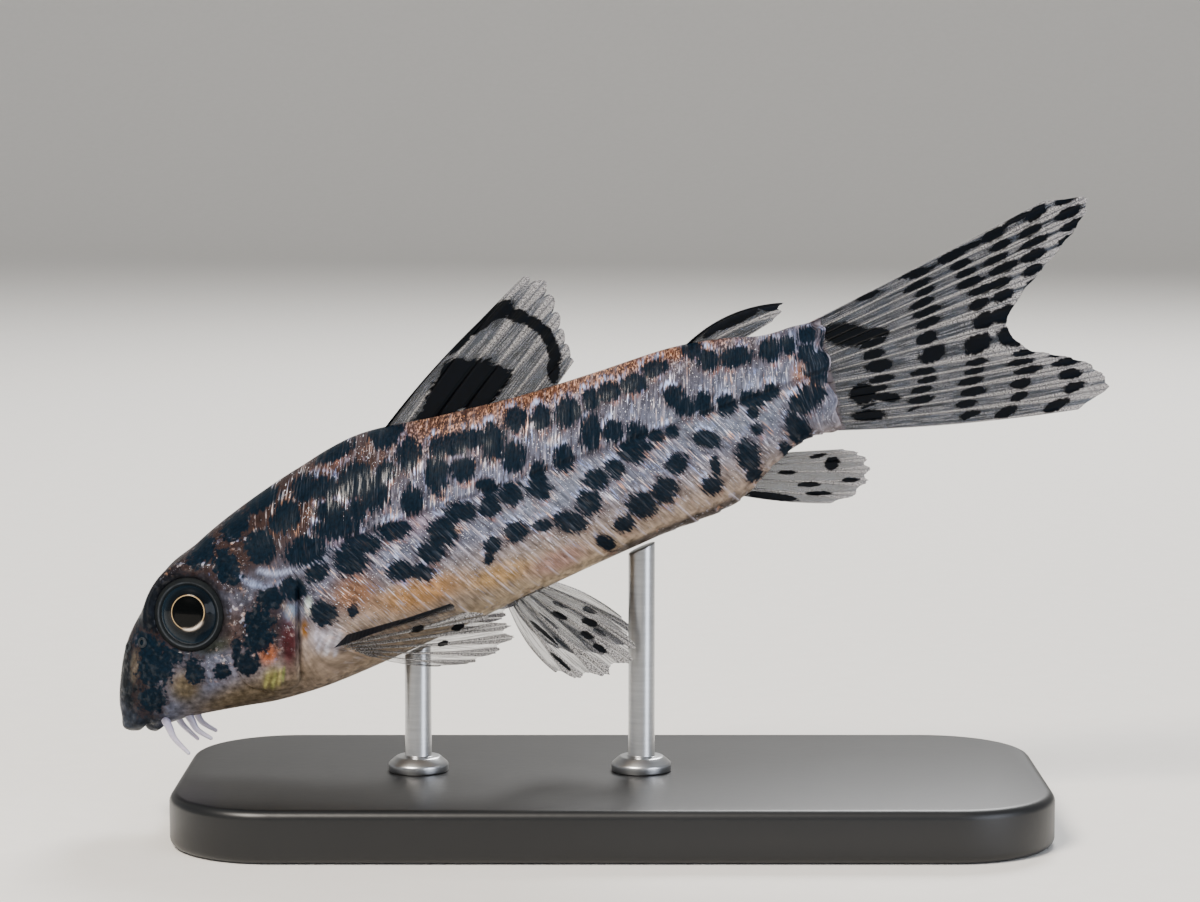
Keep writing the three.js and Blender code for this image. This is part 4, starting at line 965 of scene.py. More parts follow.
# %% Nostrils
NOSTRILS = {"front": (1.42, 2.22, 0.22, 0.06), "rear": (2.06, 2.25, 0.2, 0.04)}  # s, h, radius, height
TUBE_DEPTH, TUBE_WALL, HOLE_DEPTH = 0.6, 0.09, 0.35  # mm
for name, (nostril_s, nostril_h, wide, tall) in NOSTRILS.items():
    for side_name, nostril_side in (("left", -1), ("right", 1)):
        point, look = flank(np.array([nostril_s]), np.array([nostril_h]), nostril_side)
        point, look = point[0], look[0]
        clear()
        bpy.ops.mesh.primitive_cylinder_add(vertices=32, radius=wide, depth=TUBE_DEPTH,
                                            end_fill_type="NGON")
        nostril = start(f"nostril_{name}_{side_name}")
        pick("faces", lambda face: face.normal.z > 0.9)
        bpy.ops.mesh.inset(thickness=TUBE_WALL, depth=0.0)
        bpy.ops.mesh.extrude_region_move(TRANSFORM_OT_translate={"value": (0, 0, -HOLE_DEPTH)})
        pick("edges", lambda edge: min(v.co.z for v in edge.verts) > 0.25)
        bpy.ops.mesh.bevel(offset=0.035, segments=4, affect="EDGES")
        bpy.ops.object.mode_set(mode="OBJECT")
        tube = places(nostril)
        tube[:, :2] *= (1 + 0.3 * (1 - smooth(-0.3, 0.1, tube[:, 2])))[:, None]
        tube[:, 2] += tall - TUBE_DEPTH / 2
        place(nostril, to_scene(lay_on(point, look, tube)))
        note(nostril, "lid", np.full(len(tube), 0.28))
        finish(nostril, lid_finish, "skin", crisp=50)

# %% [markdown]
# ## Fins
# A fin is a clear skin stretched over rays. Each ray is one strand at its root and splits into two, and
# then four, towards the edge. A grid is added and each of its vertices is laid between two rays' curves.
# A Solidify modifier then gives it thickness, with a weight for each vertex, so that the rays stand up as
# ridges on both faces while the membrane between them stays as thin as the real one looks. The edge is
# notched between the rays, frayed a little, or drawn into a round lobe for each ray on the back fin.

# %% One fin from its rays
def curve_at(root, middle, tip, t):
    """A quadratic curve, also read a little before its root."""
    t = t[..., None]
    return root * (1 - t) ** 2 + middle * 2 * t * (1 - t) + tip * t * t


def strand(across, t, split, fork):
    """How far a place is from a ray's nearest strand, in the widths between rays."""
    spread = split * smooth(0.38, 1.0, t)
    near = np.abs(across - np.round(across))
    first = np.abs(near - spread)
    second = fork * smooth(0.68, 1.0, t)
    nearest = np.minimum(np.abs(first - second), np.abs(first + second))
    return nearest


def dashes(s, h, across, bars):
    """Short dark dashes between the strands, in bars that cross the fin. A bar is a row of (h, s)."""
    field = np.full(np.shape(s), -1.0)
    lane = np.floor(across)
    for number, bar in enumerate(bars):
        heights, lengths = np.array(bar).T
        wander = 0.14 * np.sin(lane * 2.7 + number * 1.9)
        ahead = (s - np.interp(h, heights, lengths) - wander) / (0.64 + 0.1 * np.sin(lane * 1.7 + number))
        beside = (across % 1 - 0.5) / 0.47
        inside = (h > heights[0]) & (h < heights[-1])
        field = np.maximum(field, np.where(inside, 1 - np.sqrt(ahead**2 + beside**2), -1))
    return field


FIN_SUNK, RAY_THICKNESS = 0.5, 0.2  # mm under the skin, and through a ray


def fin(name, rays, spots, node, notch=0.06, spine=0.0, steps=64, each=18, bars=(), veil=0.8,
        fleshy=0.0, frayed=1.0, lobed=0.0):
    """A fin from rays given as root, middle and tip points (s, y, h), first ray in front.

    veil is how solid the membrane looks, spine how much stouter the first ray is, each the columns from
    one ray to the next, steps the rows, and fleshy how many mm the flesh runs out over the root.
    """
    rays = np.array(rays, float)
    columns = (len(rays) - 1) * each + 1
    clear()
    bpy.ops.mesh.primitive_grid_add(x_subdivisions=columns - 1, y_subdivisions=steps - 1, size=1.0)
    piece = bpy.context.object
    piece.name = piece.data.name = name
    flat = places(piece)
    across = (flat[:, 0] + 0.5) * (len(rays) - 1)
    t = flat[:, 1] + 0.5
    shares = across / (len(rays) - 1)
    root, middle, tip = (spline(rays[:, i], shares) for i in range(3))
    reach = np.linalg.norm(tip - root, axis=1)
    near = np.abs(across - np.round(across))
    between = np.sin(np.pi * (across % 1)) ** 2
    ragged = 0.25 * np.sin(across * 23.0) + 0.35 * np.sin(across * 11.3 + 1.0) + 0.4 * np.sin(across * 47.0)
    edge = notch * between + 0.012 * frayed * ragged + lobed * (1 - np.sqrt(1 - (1.96 * near) ** 2))
    edge += 0.35 * notch * (1 - smooth(0.0, 0.12, near)) * (across % 1 > 0)
    start_t = -FIN_SUNK / reach
    along = start_t + t * (1 - edge - start_t)
    points = curve_at(root, middle, tip, along)
    place(piece, to_scene(points))
    off_strand = strand(across, np.clip(along, 0, 1), 0.2, 0.075)
    ray = np.exp(-(off_strand / 0.055) ** 2)
    outer = smooth(0.75, 1.0, t)
    weight = 0.2 + 0.8 * ray * (1 - 0.7 * t) * (1 - 0.5 * outer) - 0.1 * outer
    weight += spine * np.exp(-(across / 0.16) ** 2) * (1 - 0.85 * t)
    group = piece.vertex_groups.new(name="thickness")
    for index, value in enumerate(np.clip(weight / (1 + spine), 0.06, 1)):
        group.add([index], float(value), "REPLACE")
    marks = spot_field(points[:, 0], points[:, 2], spots)
    if bars:
        marks = np.maximum(marks, dashes(points[:, 0], points[:, 2], across, bars))
    for field, values in {
        "ray": ray,
        "pale": np.exp(-(off_strand / 0.1) ** 4),
        "veil": np.full(len(ray), veil),
        "flesh": 1 - smooth(0.0, fleshy, along * reach) if fleshy else np.zeros(len(ray)),
        "along": along * reach,
        "across": across,
        "spots": marks,
        "spine": (spine > 0.3) * np.exp(-(across / 0.4) ** 4),
    }.items():
        note(piece, field, values)
    apply(piece, "SOLIDIFY", thickness=RAY_THICKNESS * (1 + spine) / 1000, offset=0.0,
          vertex_group="thickness", thickness_vertex_group=0.0, use_even_offset=False)
    return finish(piece, fin_membrane, "fin", node, crisp=60)


# %% [markdown]
# ## Translucent fin membrane
# Light passes through a fin, so it is neither white nor grey but takes on what lies behind it, with pale
# rays, silver specks and a dusting of black pigment that sits on the rays. The material is a skin that
# scatters light, made see-through between the rays, and it grows solid where there is pigment or a ray.

# %% The fins' material
fin_membrane, tree, shader = material("translucent_fin_membrane")
read = {name: add(tree, "Attribute", attribute_name=name).outputs["Fac"] for name in
        ("ray", "pale", "veil", "flesh", "along", "across", "spots", "spine")}
object_at = add(tree, "TexCoord").outputs["Object"]
lay = add(tree, "CombineXYZ", {"X": read["across"], "Y": read["along"], "Z": 0.0})


def ray_noise(across, along, detail=2.0, shift=0.0):
    """Noise that runs with the rays: waves for each ray's width and for each mm out from the root."""
    laid = add(tree, "Mapping", {"Vector": lay, "Scale": (across, along, 1.0),
                                 "Location": (shift, shift, 0)})
    return add(tree, "TexNoise", {"Vector": laid, "Scale": 1.0, "Detail": detail})


specks = ray_noise(4.0, 5.5, 2.0, 5.0)
torn = add(tree, "Math", {0: specks, 1: 0.7, 2: -0.35}, operation="MULTIPLY_ADD")
ragged = add(tree, "Math", {0: read["spots"], 1: torn}, operation="ADD")
dark = add(tree, "MapRange", {"Value": ragged, "From Min": -0.02, "From Max": 0.28},
           interpolation_type="SMOOTHSTEP")
tone = add(tree, "ValToRGB", {"Fac": ray_noise(1.2, 1.4, 3.0, 2.0)},
           stops=((0.35, "#14181c"), (0.65, "#2a2f35")))
grains = add(tree, "MapRange", {"Value": ray_noise(21.0, 17.0, 1.0, 13.0),
                                "From Min": 0.38, "From Max": 0.62})
silver = add(tree, "ValToRGB", {"Fac": grains}, stops=((0.1, "#343334"), (0.9, "#aaa8a7")))
hair = add(tree, "MapRange", {"Value": ray_noise(13.0, 0.7, 1.0, 33.0),
                              "From Min": 0.48, "From Max": 0.6, "To Max": 0.4})
drawn = add(tree, "Math", {0: read["pale"], 1: hair}, operation="MAXIMUM")
silvered = add(tree, "MixRGB", {"Fac": drawn, "Color1": tone, "Color2": silver})
fleshed = add(tree, "MixRGB", {"Fac": read["flesh"], "Color1": silvered, "Color2": rgb("#5f5557")})
marked = add(tree, "MixRGB", {"Fac": dark, "Color1": fleshed, "Color2": rgb("#010306")})
spined = add(tree, "MixRGB", {"Fac": read["spine"], "Color1": marked, "Color2": rgb("#06090e")})
solid = add(tree, "MapRange", {"Value": drawn, "To Min": read["veil"], "To Max": 0.92})
for cover in (dark, read["flesh"], read["spine"]):
    solid = add(tree, "Math", {0: solid, 1: cover}, operation="MAXIMUM")
joints = add(tree, "TexWave", {"Vector": lay, "Scale": 1.6}, bands_direction="Y")
jointed = add(tree, "Math", {0: joints, 1: read["ray"]}, operation="MULTIPLY")
bump = add(tree, "Bump", {"Height": jointed, "Strength": 0.15, "Distance": 0.00002})
feed(tree, shader, {
    "Base Color": spined, "Alpha": solid, "Roughness": 0.35, "Specular IOR Level": 0.08,
    "Coat Weight": 0.03, "Coat Roughness": 0.1, "Subsurface Weight": 0.25,
    "Subsurface Radius": (0.8, 0.8, 0.9), "Subsurface Scale": 0.0003, "Normal": bump})

# %% [markdown]
# ## The unpaired fins
# The back fin, the small fat fin, the anal fin and the two lobes of the tail fin all lie on the middle
# plane. Their rays start on the body's own outline, so the roots follow its curve.

# %% Back, fat and anal fins
def back_h(s):
    """How high the back is at s."""
    return body(np.array([s]), 0.0)[0, 2]


def belly_h(s):
    """How high the belly is at s."""
    return body(np.array([s]), np.pi)[0, 2]


def middle_rays(table, root_h, bow_s=0.0):
    """Rays on the middle plane that start on the back or the belly."""
    rays = []
    for root_s, tip_s, tip_h, bow in table:
        root = np.array([root_s, 0, root_h(root_s)])
        tip = np.array([tip_s, 0, tip_h])
        rays.append([root, (root + tip) / 2 + (bow_s * bow, 0, bow), tip])
    return rays


DORSAL = [
    # root s, tip s, tip h, bow
    (13.45, 19.3, 8.72, 0.28), (14.3, 20.55, 9.25, 0.25), (15.35, 21.2, 8.78, 0.15),
    (16.4, 21.25, 8.05, 0.1),
    (17.4, 21.2, 7.35, 0.05), (18.35, 21.1, 6.7, 0.05), (19.25, 21.05, 6.1, 0.02), (20.1, 21.0, 5.55, 0.0),
]
ADIPOSE = [(25.2, 29.2, 4.5, 0.75), (26.3, 28.95, 4.2, 0.2), (27.4, 28.5, 4.02, 0.0)]
ANAL = [
    (24.95, 27.9, -3.25, -0.18), (25.35, 28.85, -3.32, -0.16), (25.75, 29.5, -3.02, -0.12),
    (26.1, 29.78, -2.62, -0.08), (26.45, 29.82, -2.18, -0.04), (26.8, 29.55, -1.8, 0.0),
    (27.1, 29.1, -1.5, 0.0),
]
DORSAL_SPOTS = [
    # the black patch at the fin's foot
    (16.9, 6.55, 1.7, 0.8, 0), (15.8, 6.2, 1.4, 0.6, 33), (17.8, 6.2, 1.05, 0.66, -12),
    (16.7, 7.0, 0.75, 0.55, 12),
    (15.6, 5.8, 1.3, 0.45, 0), (17.2, 5.7, 1.1, 0.45, 0), (16.6, 6.0, 1.5, 0.5, -8),
    # the dark bow near its edge
    (17.3, 7.9, 0.8, 0.22, 22), (18.3, 8.25, 0.85, 0.3, 15), (19.2, 8.42, 0.7, 0.38, 8),
    (19.75, 7.95, 0.6, 0.32, -42),
    (20.2, 7.45, 0.6, 0.3, -55), (20.45, 6.85, 0.7, 0.3, -80), (20.45, 6.2, 0.65, 0.3, -95),
    (20.15, 5.55, 0.65, 0.3, -112),
]
ADIPOSE_SPOTS = [(27.3, 4.62, 1.3, 0.22, 3), (28.6, 4.6, 0.5, 0.22, -20), (26.4, 4.6, 0.7, 0.16, 12)]
ANAL_SPOTS = [
    (25.9, -2.1, 1.3, 0.17, -30), (27.4, -2.25, 0.55, 0.12, -22), (28.51, -1.84, 0.36, 0.3, 0),
    (26.8, -1.5, 0.45, 0.1, -22), (28.1, -1.37, 0.4, 0.1, -12), (27.6, -2.7, 0.6, 0.1, -22),
    (28.9, -2.7, 0.4, 0.12, -20),
]
fin("dorsal_fin_membrane", middle_rays(DORSAL, back_h, -0.4), DORSAL_SPOTS, "dorsal_fin",
    notch=0.0, spine=0.9, frayed=0.3, lobed=0.085)
fin("adipose_fin_membrane", middle_rays(ADIPOSE, back_h), ADIPOSE_SPOTS, "adipose_fin", spine=0.5, each=36)
fin("anal_fin_membrane", middle_rays(ANAL, belly_h), ANAL_SPOTS, "anal_fin", spine=0.2, veil=0.65)

# %% The tail fin's two lobes
UPPER_LOBE = [
    # root h, tip s, tip h, bow
    (3.46, 39.7, 4.22, -0.04), (3.08, 41.2, 3.74, 0.02), (2.8, 41.0, 3.2, 0.05), (2.53, 40.35, 2.74, 0.06),
    (2.26, 39.4, 2.2, 0.06), (2.0, 38.45, 1.72, 0.05), (1.72, 37.45, 1.18, 0.04), (1.42, 36.6, 0.46, 0.0),
]
LOWER_LOBE = [
    (1.42, 36.6, 0.46, 0.0), (1.0, 36.95, -0.62, -0.04), (0.66, 37.6, -1.12, -0.1),
    (0.36, 38.3, -1.58, -0.15),
    (0.06, 38.95, -2.12, -0.2), (-0.22, 39.3, -2.76, -0.25), (-0.5, 39.25, -3.3, -0.28),
    (-0.84, 37.9, -3.6, -0.3),
]
TAIL_FIN_BARS = (
    # rows of (h, s), from the lowest point of each bar to its highest
    ((-0.4, 31.0), (0.8, 31.6), (2.1, 31.6)),
    ((-1.2, 32.3), (-0.3, 33.0), (0.2, 33.25), (0.7, 33.6), (1.5, 33.85), (3.6, 34.3)),
    ((-2.3, 33.9), (-1.2, 34.5), (0.2, 35.4), (1.8, 36.2), (2.9, 35.9), (4.0, 35.7)),
    ((-2.9, 34.8), (-2.2, 36.1), (-1.3, 36.7), (1.0, 36.7), (2.5, 37.2), (4.1, 37.6)),
    ((-3.5, 36.6), (-2.7, 38.1), (-1.9, 38.2), (1.2, 38.1), (2.7, 38.6), (4.2, 39.2)),
    ((2.4, 40.1), (4.1, 40.6)),
)
TAIL_FIN_SPOTS = [
    # the blotches at the fin's root, then the dark leading edge
    (30.9, 2.45, 1.2, 0.55, -28), (30.6, 0.15, 0.65, 0.5, -20), (30.5, -0.7, 0.8, 0.28, -20),
    (31.9, 2.1, 0.7, 0.25, -18), (31.5, -0.4, 0.5, 0.2, -20), (32.2, 3.5, 0.6, 0.13, 0),
    (34.1, 3.62, 0.7, 0.14, 0),
    (36.4, 3.72, 0.8, 0.14, 0), (38.5, 4.0, 0.7, 0.14, 4), (40.4, 3.95, 0.5, 0.2, 0),
]


def lobe_rays(table):
    """Rays of a tail lobe, which start under the last plate's edge."""
    rays = []
    for root_h, tip_s, tip_h, bow in table:
        turn = angle_at(np.array([TAIL_END]), np.array([root_h]), 1)
        root = np.array([plate_edge(TAIL_END, turn)[0], 0, root_h])
        tip = np.array([tip_s, 0, tip_h])
        rays.append([root, (root + tip) / 2 + (0, 0, bow), tip])
    return rays


for lobe_name, table in (("upper", UPPER_LOBE), ("lower", LOWER_LOBE)):
    fin(f"caudal_fin_{lobe_name}_lobe", lobe_rays(table), TAIL_FIN_SPOTS, "caudal_fin_" + lobe_name,
        notch=0.015, steps=90, bars=TAIL_FIN_BARS, fleshy=0.1, frayed=0.25, veil=0.86)

# %% [markdown]
# ## The paired fins
# The breast and belly fins grow from the body's sides and spread outwards and down. Their roots are set
# a little way under the skin, so no gap shows from below. The breast fin's first ray is a stout spine.

# %% Breast and belly fins
PECTORAL = [
    # root s, root h, tip s, tip h, tip y, bow
    (9.1, -0.42, 13.57, -0.55, 4.75, 0.08), (9.22, -0.57, 14.6, -1.45, 4.7, 0.12),
    (9.33, -0.72, 15.2, -2.15, 4.5, 0.1), (9.43, -0.86, 15.15, -2.68, 4.3, 0.08),
    (9.52, -0.99, 14.4, -2.98, 4.1, 0.06), (9.6, -1.11, 13.3, -3.0, 3.9, 0.04),
    (9.68, -1.22, 12.0, -2.65, 3.6, 0.02),
]
PELVIC = [
    # root s, tip s, tip h, tip y
    (15.1, 15.9, -4.7, 2.75), (15.42, 16.6, -5.3, 2.65), (15.74, 17.6, -5.65, 2.4),
    (16.05, 18.65, -5.6, 2.1), (16.36, 19.05, -5.2, 1.8), (16.66, 18.75, -4.35, 1.5),
]
PECTORAL_SPOTS = [(12.0, -1.0, 0.3, 0.15, 0), (13.4, -1.5, 0.3, 0.15, 0), (12.6, -1.9, 0.25, 0.12, 0)]
PELVIC_SPOTS = [
    (17.75, -3.65, 0.36, 0.16, -43), (17.47, -4.03, 0.32, 0.14, -48), (16.79, -2.99, 0.4, 0.12, -45),
    (17.74, -4.65, 0.34, 0.13, -52), (16.0, -3.3, 0.8, 0.08, -62), (16.2, -4.5, 0.6, 0.08, -62),
]
for side_name, fin_side in (("left", -1), ("right", 1)):
    rays = []
    for root_s, root_h, tip_s, tip_h, tip_y, bow in PECTORAL:
        root = flank(np.array([root_s]), np.array([root_h]), fin_side, np.array([0.2]))[0][0]
        tip = np.array([tip_s, fin_side * tip_y, tip_h])
        rays.append([root, (root + tip) / 2 + (-0.3, fin_side * 0.8, bow), tip])
    fin("pectoral_fin_membrane_" + side_name, rays, PECTORAL_SPOTS, "pectoral_fin_" + side_name,
        notch=0.07, spine=1.4, veil=0.16)
    rays = []
    for root_s, tip_s, tip_h, tip_y in PELVIC:
        root = np.array([root_s, fin_side, belly_h(root_s) + 0.1])
        tip = np.array([tip_s, fin_side * tip_y, tip_h])
        bow = len(rays) / 5
        rays.append([root, (root + tip) / 2 + (-0.35 + 0.6 * bow, fin_side * 0.15, -0.3 + 0.6 * bow), tip])
    fin("pelvic_fin_membrane_" + side_name, rays, PELVIC_SPOTS, "pelvic_fin_" + side_name,
        notch=0.09, spine=0.3, veil=0.3)

# %% [markdown]
# ## Barbels
# Barbels are soft feelers, thick at the root and drawn out to a point. A straight tube is laid along a
# bent curve, one ring at a time, and its radius shrinks on the way. Its first rings stay under the skin.
# The flesh is dark at the root and turns a milky lilac further out, where light passes through it.

# %% Barbels
barbel_flesh, tree, shader = material("soft_barbel_flesh")
out_in = add(tree, "Attribute", attribute_name="out").outputs["Fac"]
tint = add(tree, "ValToRGB", {"Fac": out_in}, stops=((0.0, "#4b4954"), (0.25, "#9e99b0"), (1.0, "#c9c4d4")))
grain = add(tree, "TexNoise", {"Vector": add(tree, "TexCoord").outputs["Object"], "Scale": 7000.0})
shaded = add(tree, "MapRange", {"Value": grain, "To Min": 0.82, "To Max": 1.12})
mixed = add(tree, "MixRGB", {"Fac": 1.0, "Color1": tint, "Color2": shaded}, blend_type="MULTIPLY")
bump = add(tree, "Bump", {"Height": grain, "Strength": 0.2, "Distance": 0.00003})
feed(tree, shader, {
    "Base Color": mixed, "Roughness": 0.35, "Coat Weight": 0.4, "Coat Roughness": 0.1,
    "Subsurface Weight": 0.3, "Subsurface Radius": (1.0, 0.7, 0.7), "Subsurface Scale": 0.0002,
    "Normal": bump})

RINGS, AROUND = 41, 20
ROOT_RADIUS, TIP_RADIUS = 0.18, 0.07
BARBELS = {
    # root s, root h, then bend and tip as s, h, y
    "corner": (1.22, -0.84, (1.42, -1.7, 1.4), (1.8, -2.36, 1.45)),
    "chin": (1.95, -1.1, (2.2, -1.8, 0.75), (2.7, -2.25, 0.8)),
}
for name, (root_s, root_h, bend, tip) in BARBELS.items():
    for side_name, barbel_side in (("left", -1), ("right", 1)):
        point, look = flank(np.array([root_s]), np.array([root_h]), barbel_side)
        point, look = point[0], look[0]
        bend_at, tip_at = (np.array((bs, barbel_side * by, bh)) for bs, bh, by in (bend, tip))
        rooted = point - 0.22 * look
        sagging = 0.45 * bend_at + 0.55 * (point + tip_at) / 2
        guide = np.array([rooted, (rooted + sagging) / 2, sagging, tip_at])
        feeler, row, column = straight_tube(f"barbel_{name}_{side_name}_flesh", RINGS, AROUND)
        share = np.clip(row / (RINGS - 1), 0, 1)
        middle_line = spline(guide, share)
        ahead = spline(guide, np.clip(share + 0.01, 0, 1)) - spline(guide, np.clip(share - 0.01, 0, 1))
        ahead /= np.linalg.norm(ahead, axis=1, keepdims=True)
        one = np.cross(ahead, (1.0, 0, 0))
        one /= np.linalg.norm(one, axis=1, keepdims=True)
        two = np.cross(ahead, one)
        turn = column / AROUND * 2 * np.pi
        wide = ROOT_RADIUS - (ROOT_RADIUS - TIP_RADIUS) * share**1.2
        wide = np.where((row < 0) | (row >= RINGS), 0, wide)
        laid = middle_line + wide[:, None] * (np.cos(turn)[:, None] * one + np.sin(turn)[:, None] * two)
        laid += np.where(row >= RINGS, 0.05, 0.0)[:, None] * ahead
        place(feeler, to_scene(laid))
        note(feeler, "out", share)
        finish(feeler, barbel_flesh, "barbel", f"barbel_{name}_{side_name}", crisp=80)

# %% [markdown]
# ## The stand
# Museums hold a swimming fish on thin rods over a plain base, so that the stand reads as furniture and
# the fish as the subject. The base is a cube, bevelled twice: its upright corners round, then its rims
# soft. Each rod is a cylinder whose foot is extruded into a collar and whose top is cut to the belly.
# The lacquer is satin, so the base gives back only broad blurred light. The steel is brushed round the
# rods, which leaves faint fine rings across one soft upright highlight.

# %% Satin black lacquer and brushed steel
black_lacquer, tree, shader = material("satin_black_lacquer")
object_at = add(tree, "TexCoord").outputs["Object"]
cloud = add(tree, "TexNoise", {"Vector": object_at, "Scale": 90.0, "Detail": 4.0})
tint = add(tree, "MixRGB", {"Fac": cloud, "Color1": rgb("#08090a"), "Color2": rgb("#0f1012")})
peel = add(tree, "TexNoise", {"Vector": object_at, "Scale": 2600.0, "Detail": 1.0})
bump = add(tree, "Bump", {"Height": peel, "Strength": 0.12, "Distance": 0.00003})
rough = add(tree, "MapRange", {"Value": cloud, "To Min": 0.32, "To Max": 0.46})
feed(tree, shader, {"Base Color": tint, "Roughness": rough, "Normal": bump})

brushed_steel, tree, shader = material("brushed_steel")
object_at = add(tree, "TexCoord").outputs["Object"]
laid = add(tree, "Mapping", {"Vector": object_at, "Scale": (900.0, 900.0, 9000.0)})
brushing = add(tree, "TexNoise", {"Vector": laid, "Scale": 1.0, "Detail": 3.0})
tint = add(tree, "MixRGB", {"Fac": brushing, "Color1": rgb("#a9abad"), "Color2": rgb("#cfd0d1")})
rough = add(tree, "MapRange", {"Value": brushing, "To Min": 0.26, "To Max": 0.34})
bump = add(tree, "Bump", {"Height": brushing, "Strength": 0.05, "Distance": 0.00002})
feed(tree, shader, {"Base Color": tint, "Metallic": 1.0, "Roughness": rough, "Normal": bump})

# %% The base
BASE_LENGTH, BASE_WIDTH, BASE_HEIGHT, CORNER, RIM = 33, 15, 2, 4, 0.35  # mm
clear()
bpy.ops.mesh.primitive_cube_add(size=1, location=(0, 0, BASE_HEIGHT / 2))
base = start("display_base")
bpy.ops.transform.resize(value=(BASE_LENGTH, BASE_WIDTH, BASE_HEIGHT))
pick("edges", lambda edge: abs(edge.verts[0].co.z - edge.verts[1].co.z) > 0.5)
bpy.ops.mesh.bevel(offset=CORNER, segments=16, affect="EDGES")
bpy.ops.object.mode_set(mode="OBJECT")
bpy.ops.object.transform_apply(location=True, rotation=True, scale=True)
bpy.ops.object.mode_set(mode="EDIT")
pick("faces", lambda face: abs(face.normal.z) > 0.9)
bpy.ops.mesh.region_to_loop()
bpy.ops.mesh.bevel(offset=RIM, segments=5, affect="EDGES")
bpy.ops.object.mode_set(mode="OBJECT")
place(base, places(base) / 1000)
finish(base, black_lacquer, "plinth", "stand_base", crisp=30)

# %% The rods
COLLAR_RADIUS, COLLAR_HEIGHT, TAPER_HEIGHT, ROD_INSET, BELOW_BELLY = 1.15, 0.3, 0.28, 0.32, 0.15  # mm
for name, rod_s in (("front", 11.2), ("rear", 20.6)):
    top, ahead = (to_scene((at, 0, belly_h(at) - BELOW_BELLY)) * 1000 for at in (rod_s, rod_s + 0.5))
    slope = (ahead[2] - top[2]) / (ahead[0] - top[0])
    clear()
    bpy.ops.mesh.primitive_cylinder_add(vertices=64, radius=COLLAR_RADIUS, depth=COLLAR_HEIGHT,
                                        location=(0, 0, BASE_HEIGHT + COLLAR_HEIGHT / 2))
    rod = start("display_rod_" + name)
    bpy.ops.object.mode_set(mode="OBJECT")
    bpy.ops.object.transform_apply(location=True, rotation=True, scale=True)
    bpy.ops.object.mode_set(mode="EDIT")
    pick("faces", lambda face: face.normal.z > 0.9)
    bpy.ops.mesh.extrude_region_move(TRANSFORM_OT_translate={"value": (0, 0, TAPER_HEIGHT)})
    bpy.ops.transform.resize(value=(0.72, 0.72, 1))
    bpy.ops.mesh.inset(thickness=ROD_INSET, depth=0.0)
    bpy.ops.mesh.extrude_region_move(TRANSFORM_OT_translate={"value": (0, 0, top[2] + 1.0)})
    bpy.ops.object.mode_set(mode="OBJECT")
    place(rod, places(rod) + (top[0], 0, 0))
    bpy.ops.object.mode_set(mode="EDIT")
    bpy.ops.mesh.select_all(action="SELECT")
    bpy.ops.mesh.bisect(plane_co=tuple(top), plane_no=(-slope, 0, 1), clear_outer=True, use_fill=True)
    pick("edges", lambda edge: len(edge.link_faces) == 2 and edge.calc_face_angle(0) > 0.5)
    bpy.ops.mesh.bevel(offset=0.06, segments=3, affect="EDGES")
    bpy.ops.object.mode_set(mode="OBJECT")
    place(rod, places(rod) / 1000)
    finish(rod, brushed_steel, "rod", "stand_rod_" + name, crisp=35)

# %% [markdown]
# ## Floor, light and camera
# The stage is a pale sweep: a floor that rises in a wide curve behind the model, so no horizon cuts the
# picture. It is matt paper, so nothing on it draws the eye from the fish. Large soft lights stand in for a
# studio's softboxes. The camera looks along +Y, six degrees down, through a 100 mm lens, which is how the
# animal was seen.

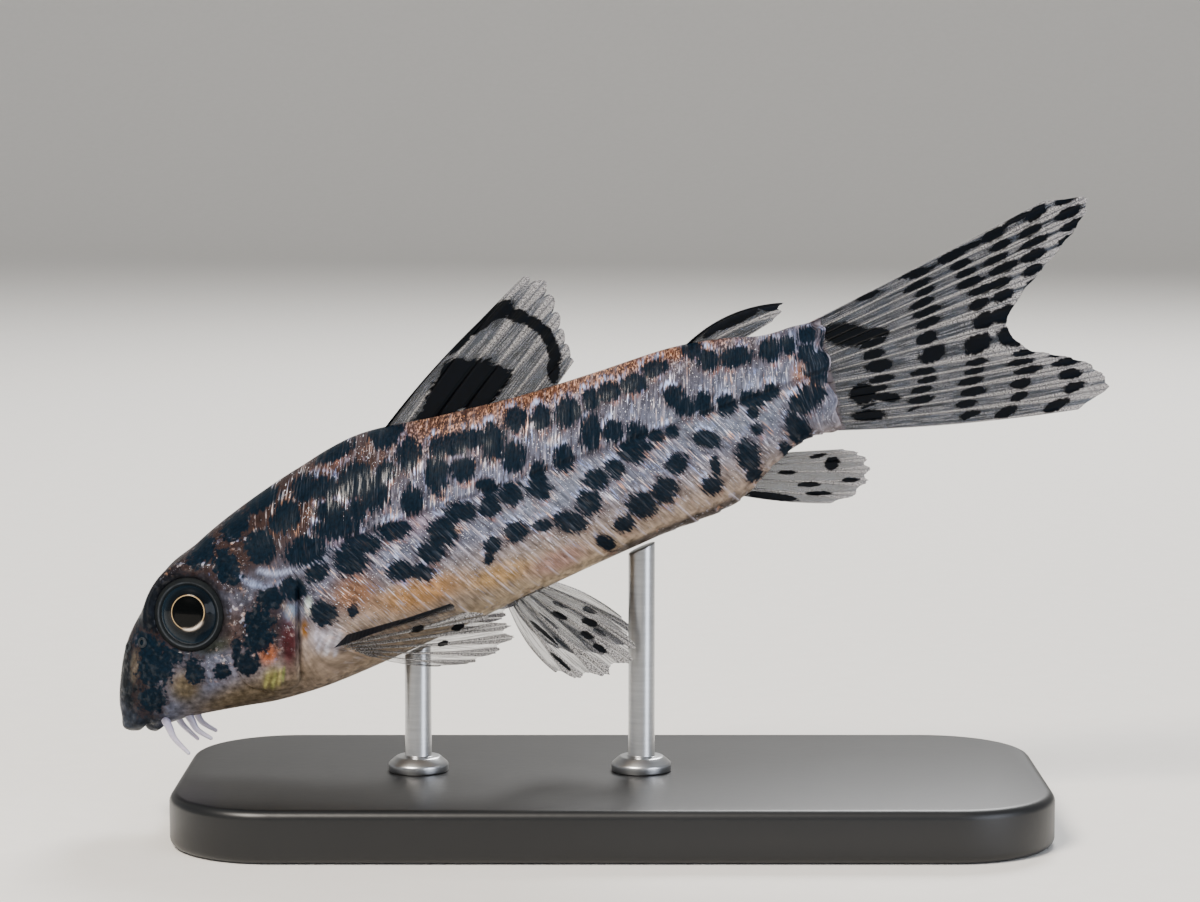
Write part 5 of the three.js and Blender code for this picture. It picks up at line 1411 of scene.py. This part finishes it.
# %% The pale sweep
clear()
bpy.ops.mesh.primitive_plane_add(size=1)
sweep = start("pale_sweep")
bpy.ops.transform.resize(value=(1.6, 0.9, 1))
pick("edges", lambda edge: min(vert.co.y for vert in edge.verts) > 0.3)
CURVE_STEPS, CURVE_RADIUS = 16, 0.2
for index in range(CURVE_STEPS):
    turn = (index + 0.5) / CURVE_STEPS * math.pi / 2
    run = CURVE_RADIUS * math.pi / 2 / CURVE_STEPS
    step = (0, run * math.cos(turn), run * math.sin(turn))
    bpy.ops.mesh.extrude_region_move(TRANSFORM_OT_translate={"value": step})
bpy.ops.mesh.extrude_region_move(TRANSFORM_OT_translate={"value": (0, 0, 0.7)})
bpy.ops.object.mode_set(mode="OBJECT")
bpy.ops.object.transform_apply(location=True, rotation=True, scale=True)
bpy.ops.object.shade_smooth()
paper, tree, shader = material("matt_pale_paper")
fibre = add(tree, "TexNoise", {"Vector": add(tree, "TexCoord").outputs["Object"], "Scale": 900.0,
                               "Detail": 3.0})
tint = add(tree, "MixRGB", {"Fac": fibre, "Color1": rgb("#eae7e1"), "Color2": rgb("#f0ede8")})
feed(tree, shader, {"Base Color": tint, "Roughness": 0.9})
sweep.data.materials.append(paper)

# %% Soft studio light
TARGET = Vector((-0.000455, 0, 0.01431))


def softbox(name, place_at, size, power, tint):
    """A round soft light, in metres and watts, that faces the fish."""
    clear()
    bpy.ops.object.light_add(type="AREA", location=place_at)
    light = bpy.context.object
    light.name = name
    light.data.shape = "DISK"
    light.data.size = size
    light.data.energy = power
    light.data.color = rgb(tint)[:3]
    light.rotation_euler = (TARGET - Vector(place_at)).to_track_quat("-Z", "Y").to_euler()


softbox("key_softbox", (-0.12, -0.16, 0.24), 0.12, 1.5, "#fff6ea")
softbox("fill_softbox", (0.22, -0.2, 0.1), 0.2, 0.55, "#eaf1ff")
softbox("rim_softbox", (0.06, 0.22, 0.22), 0.12, 0.9, "#ffffff")
world = bpy.data.worlds.new("soft_room")
bpy.context.scene.world = world
world.use_nodes = True
feed(world.node_tree, world.node_tree.nodes["Background"], {"Color": rgb("#e8ecf2"), "Strength": 0.4})

# %% The camera
DISTANCE, ELEVATION = 0.12658, math.radians(6)
eye_point = TARGET + DISTANCE * Vector((0, -math.cos(ELEVATION), math.sin(ELEVATION)))
clear()
bpy.ops.object.camera_add(location=eye_point)
camera = bpy.context.object
camera.data.lens = 100
camera.data.sensor_width = 36
camera.data.clip_start = 0.005
camera.rotation_euler = (TARGET - eye_point).to_track_quat("-Z", "Y").to_euler()
bpy.context.scene.camera = camera
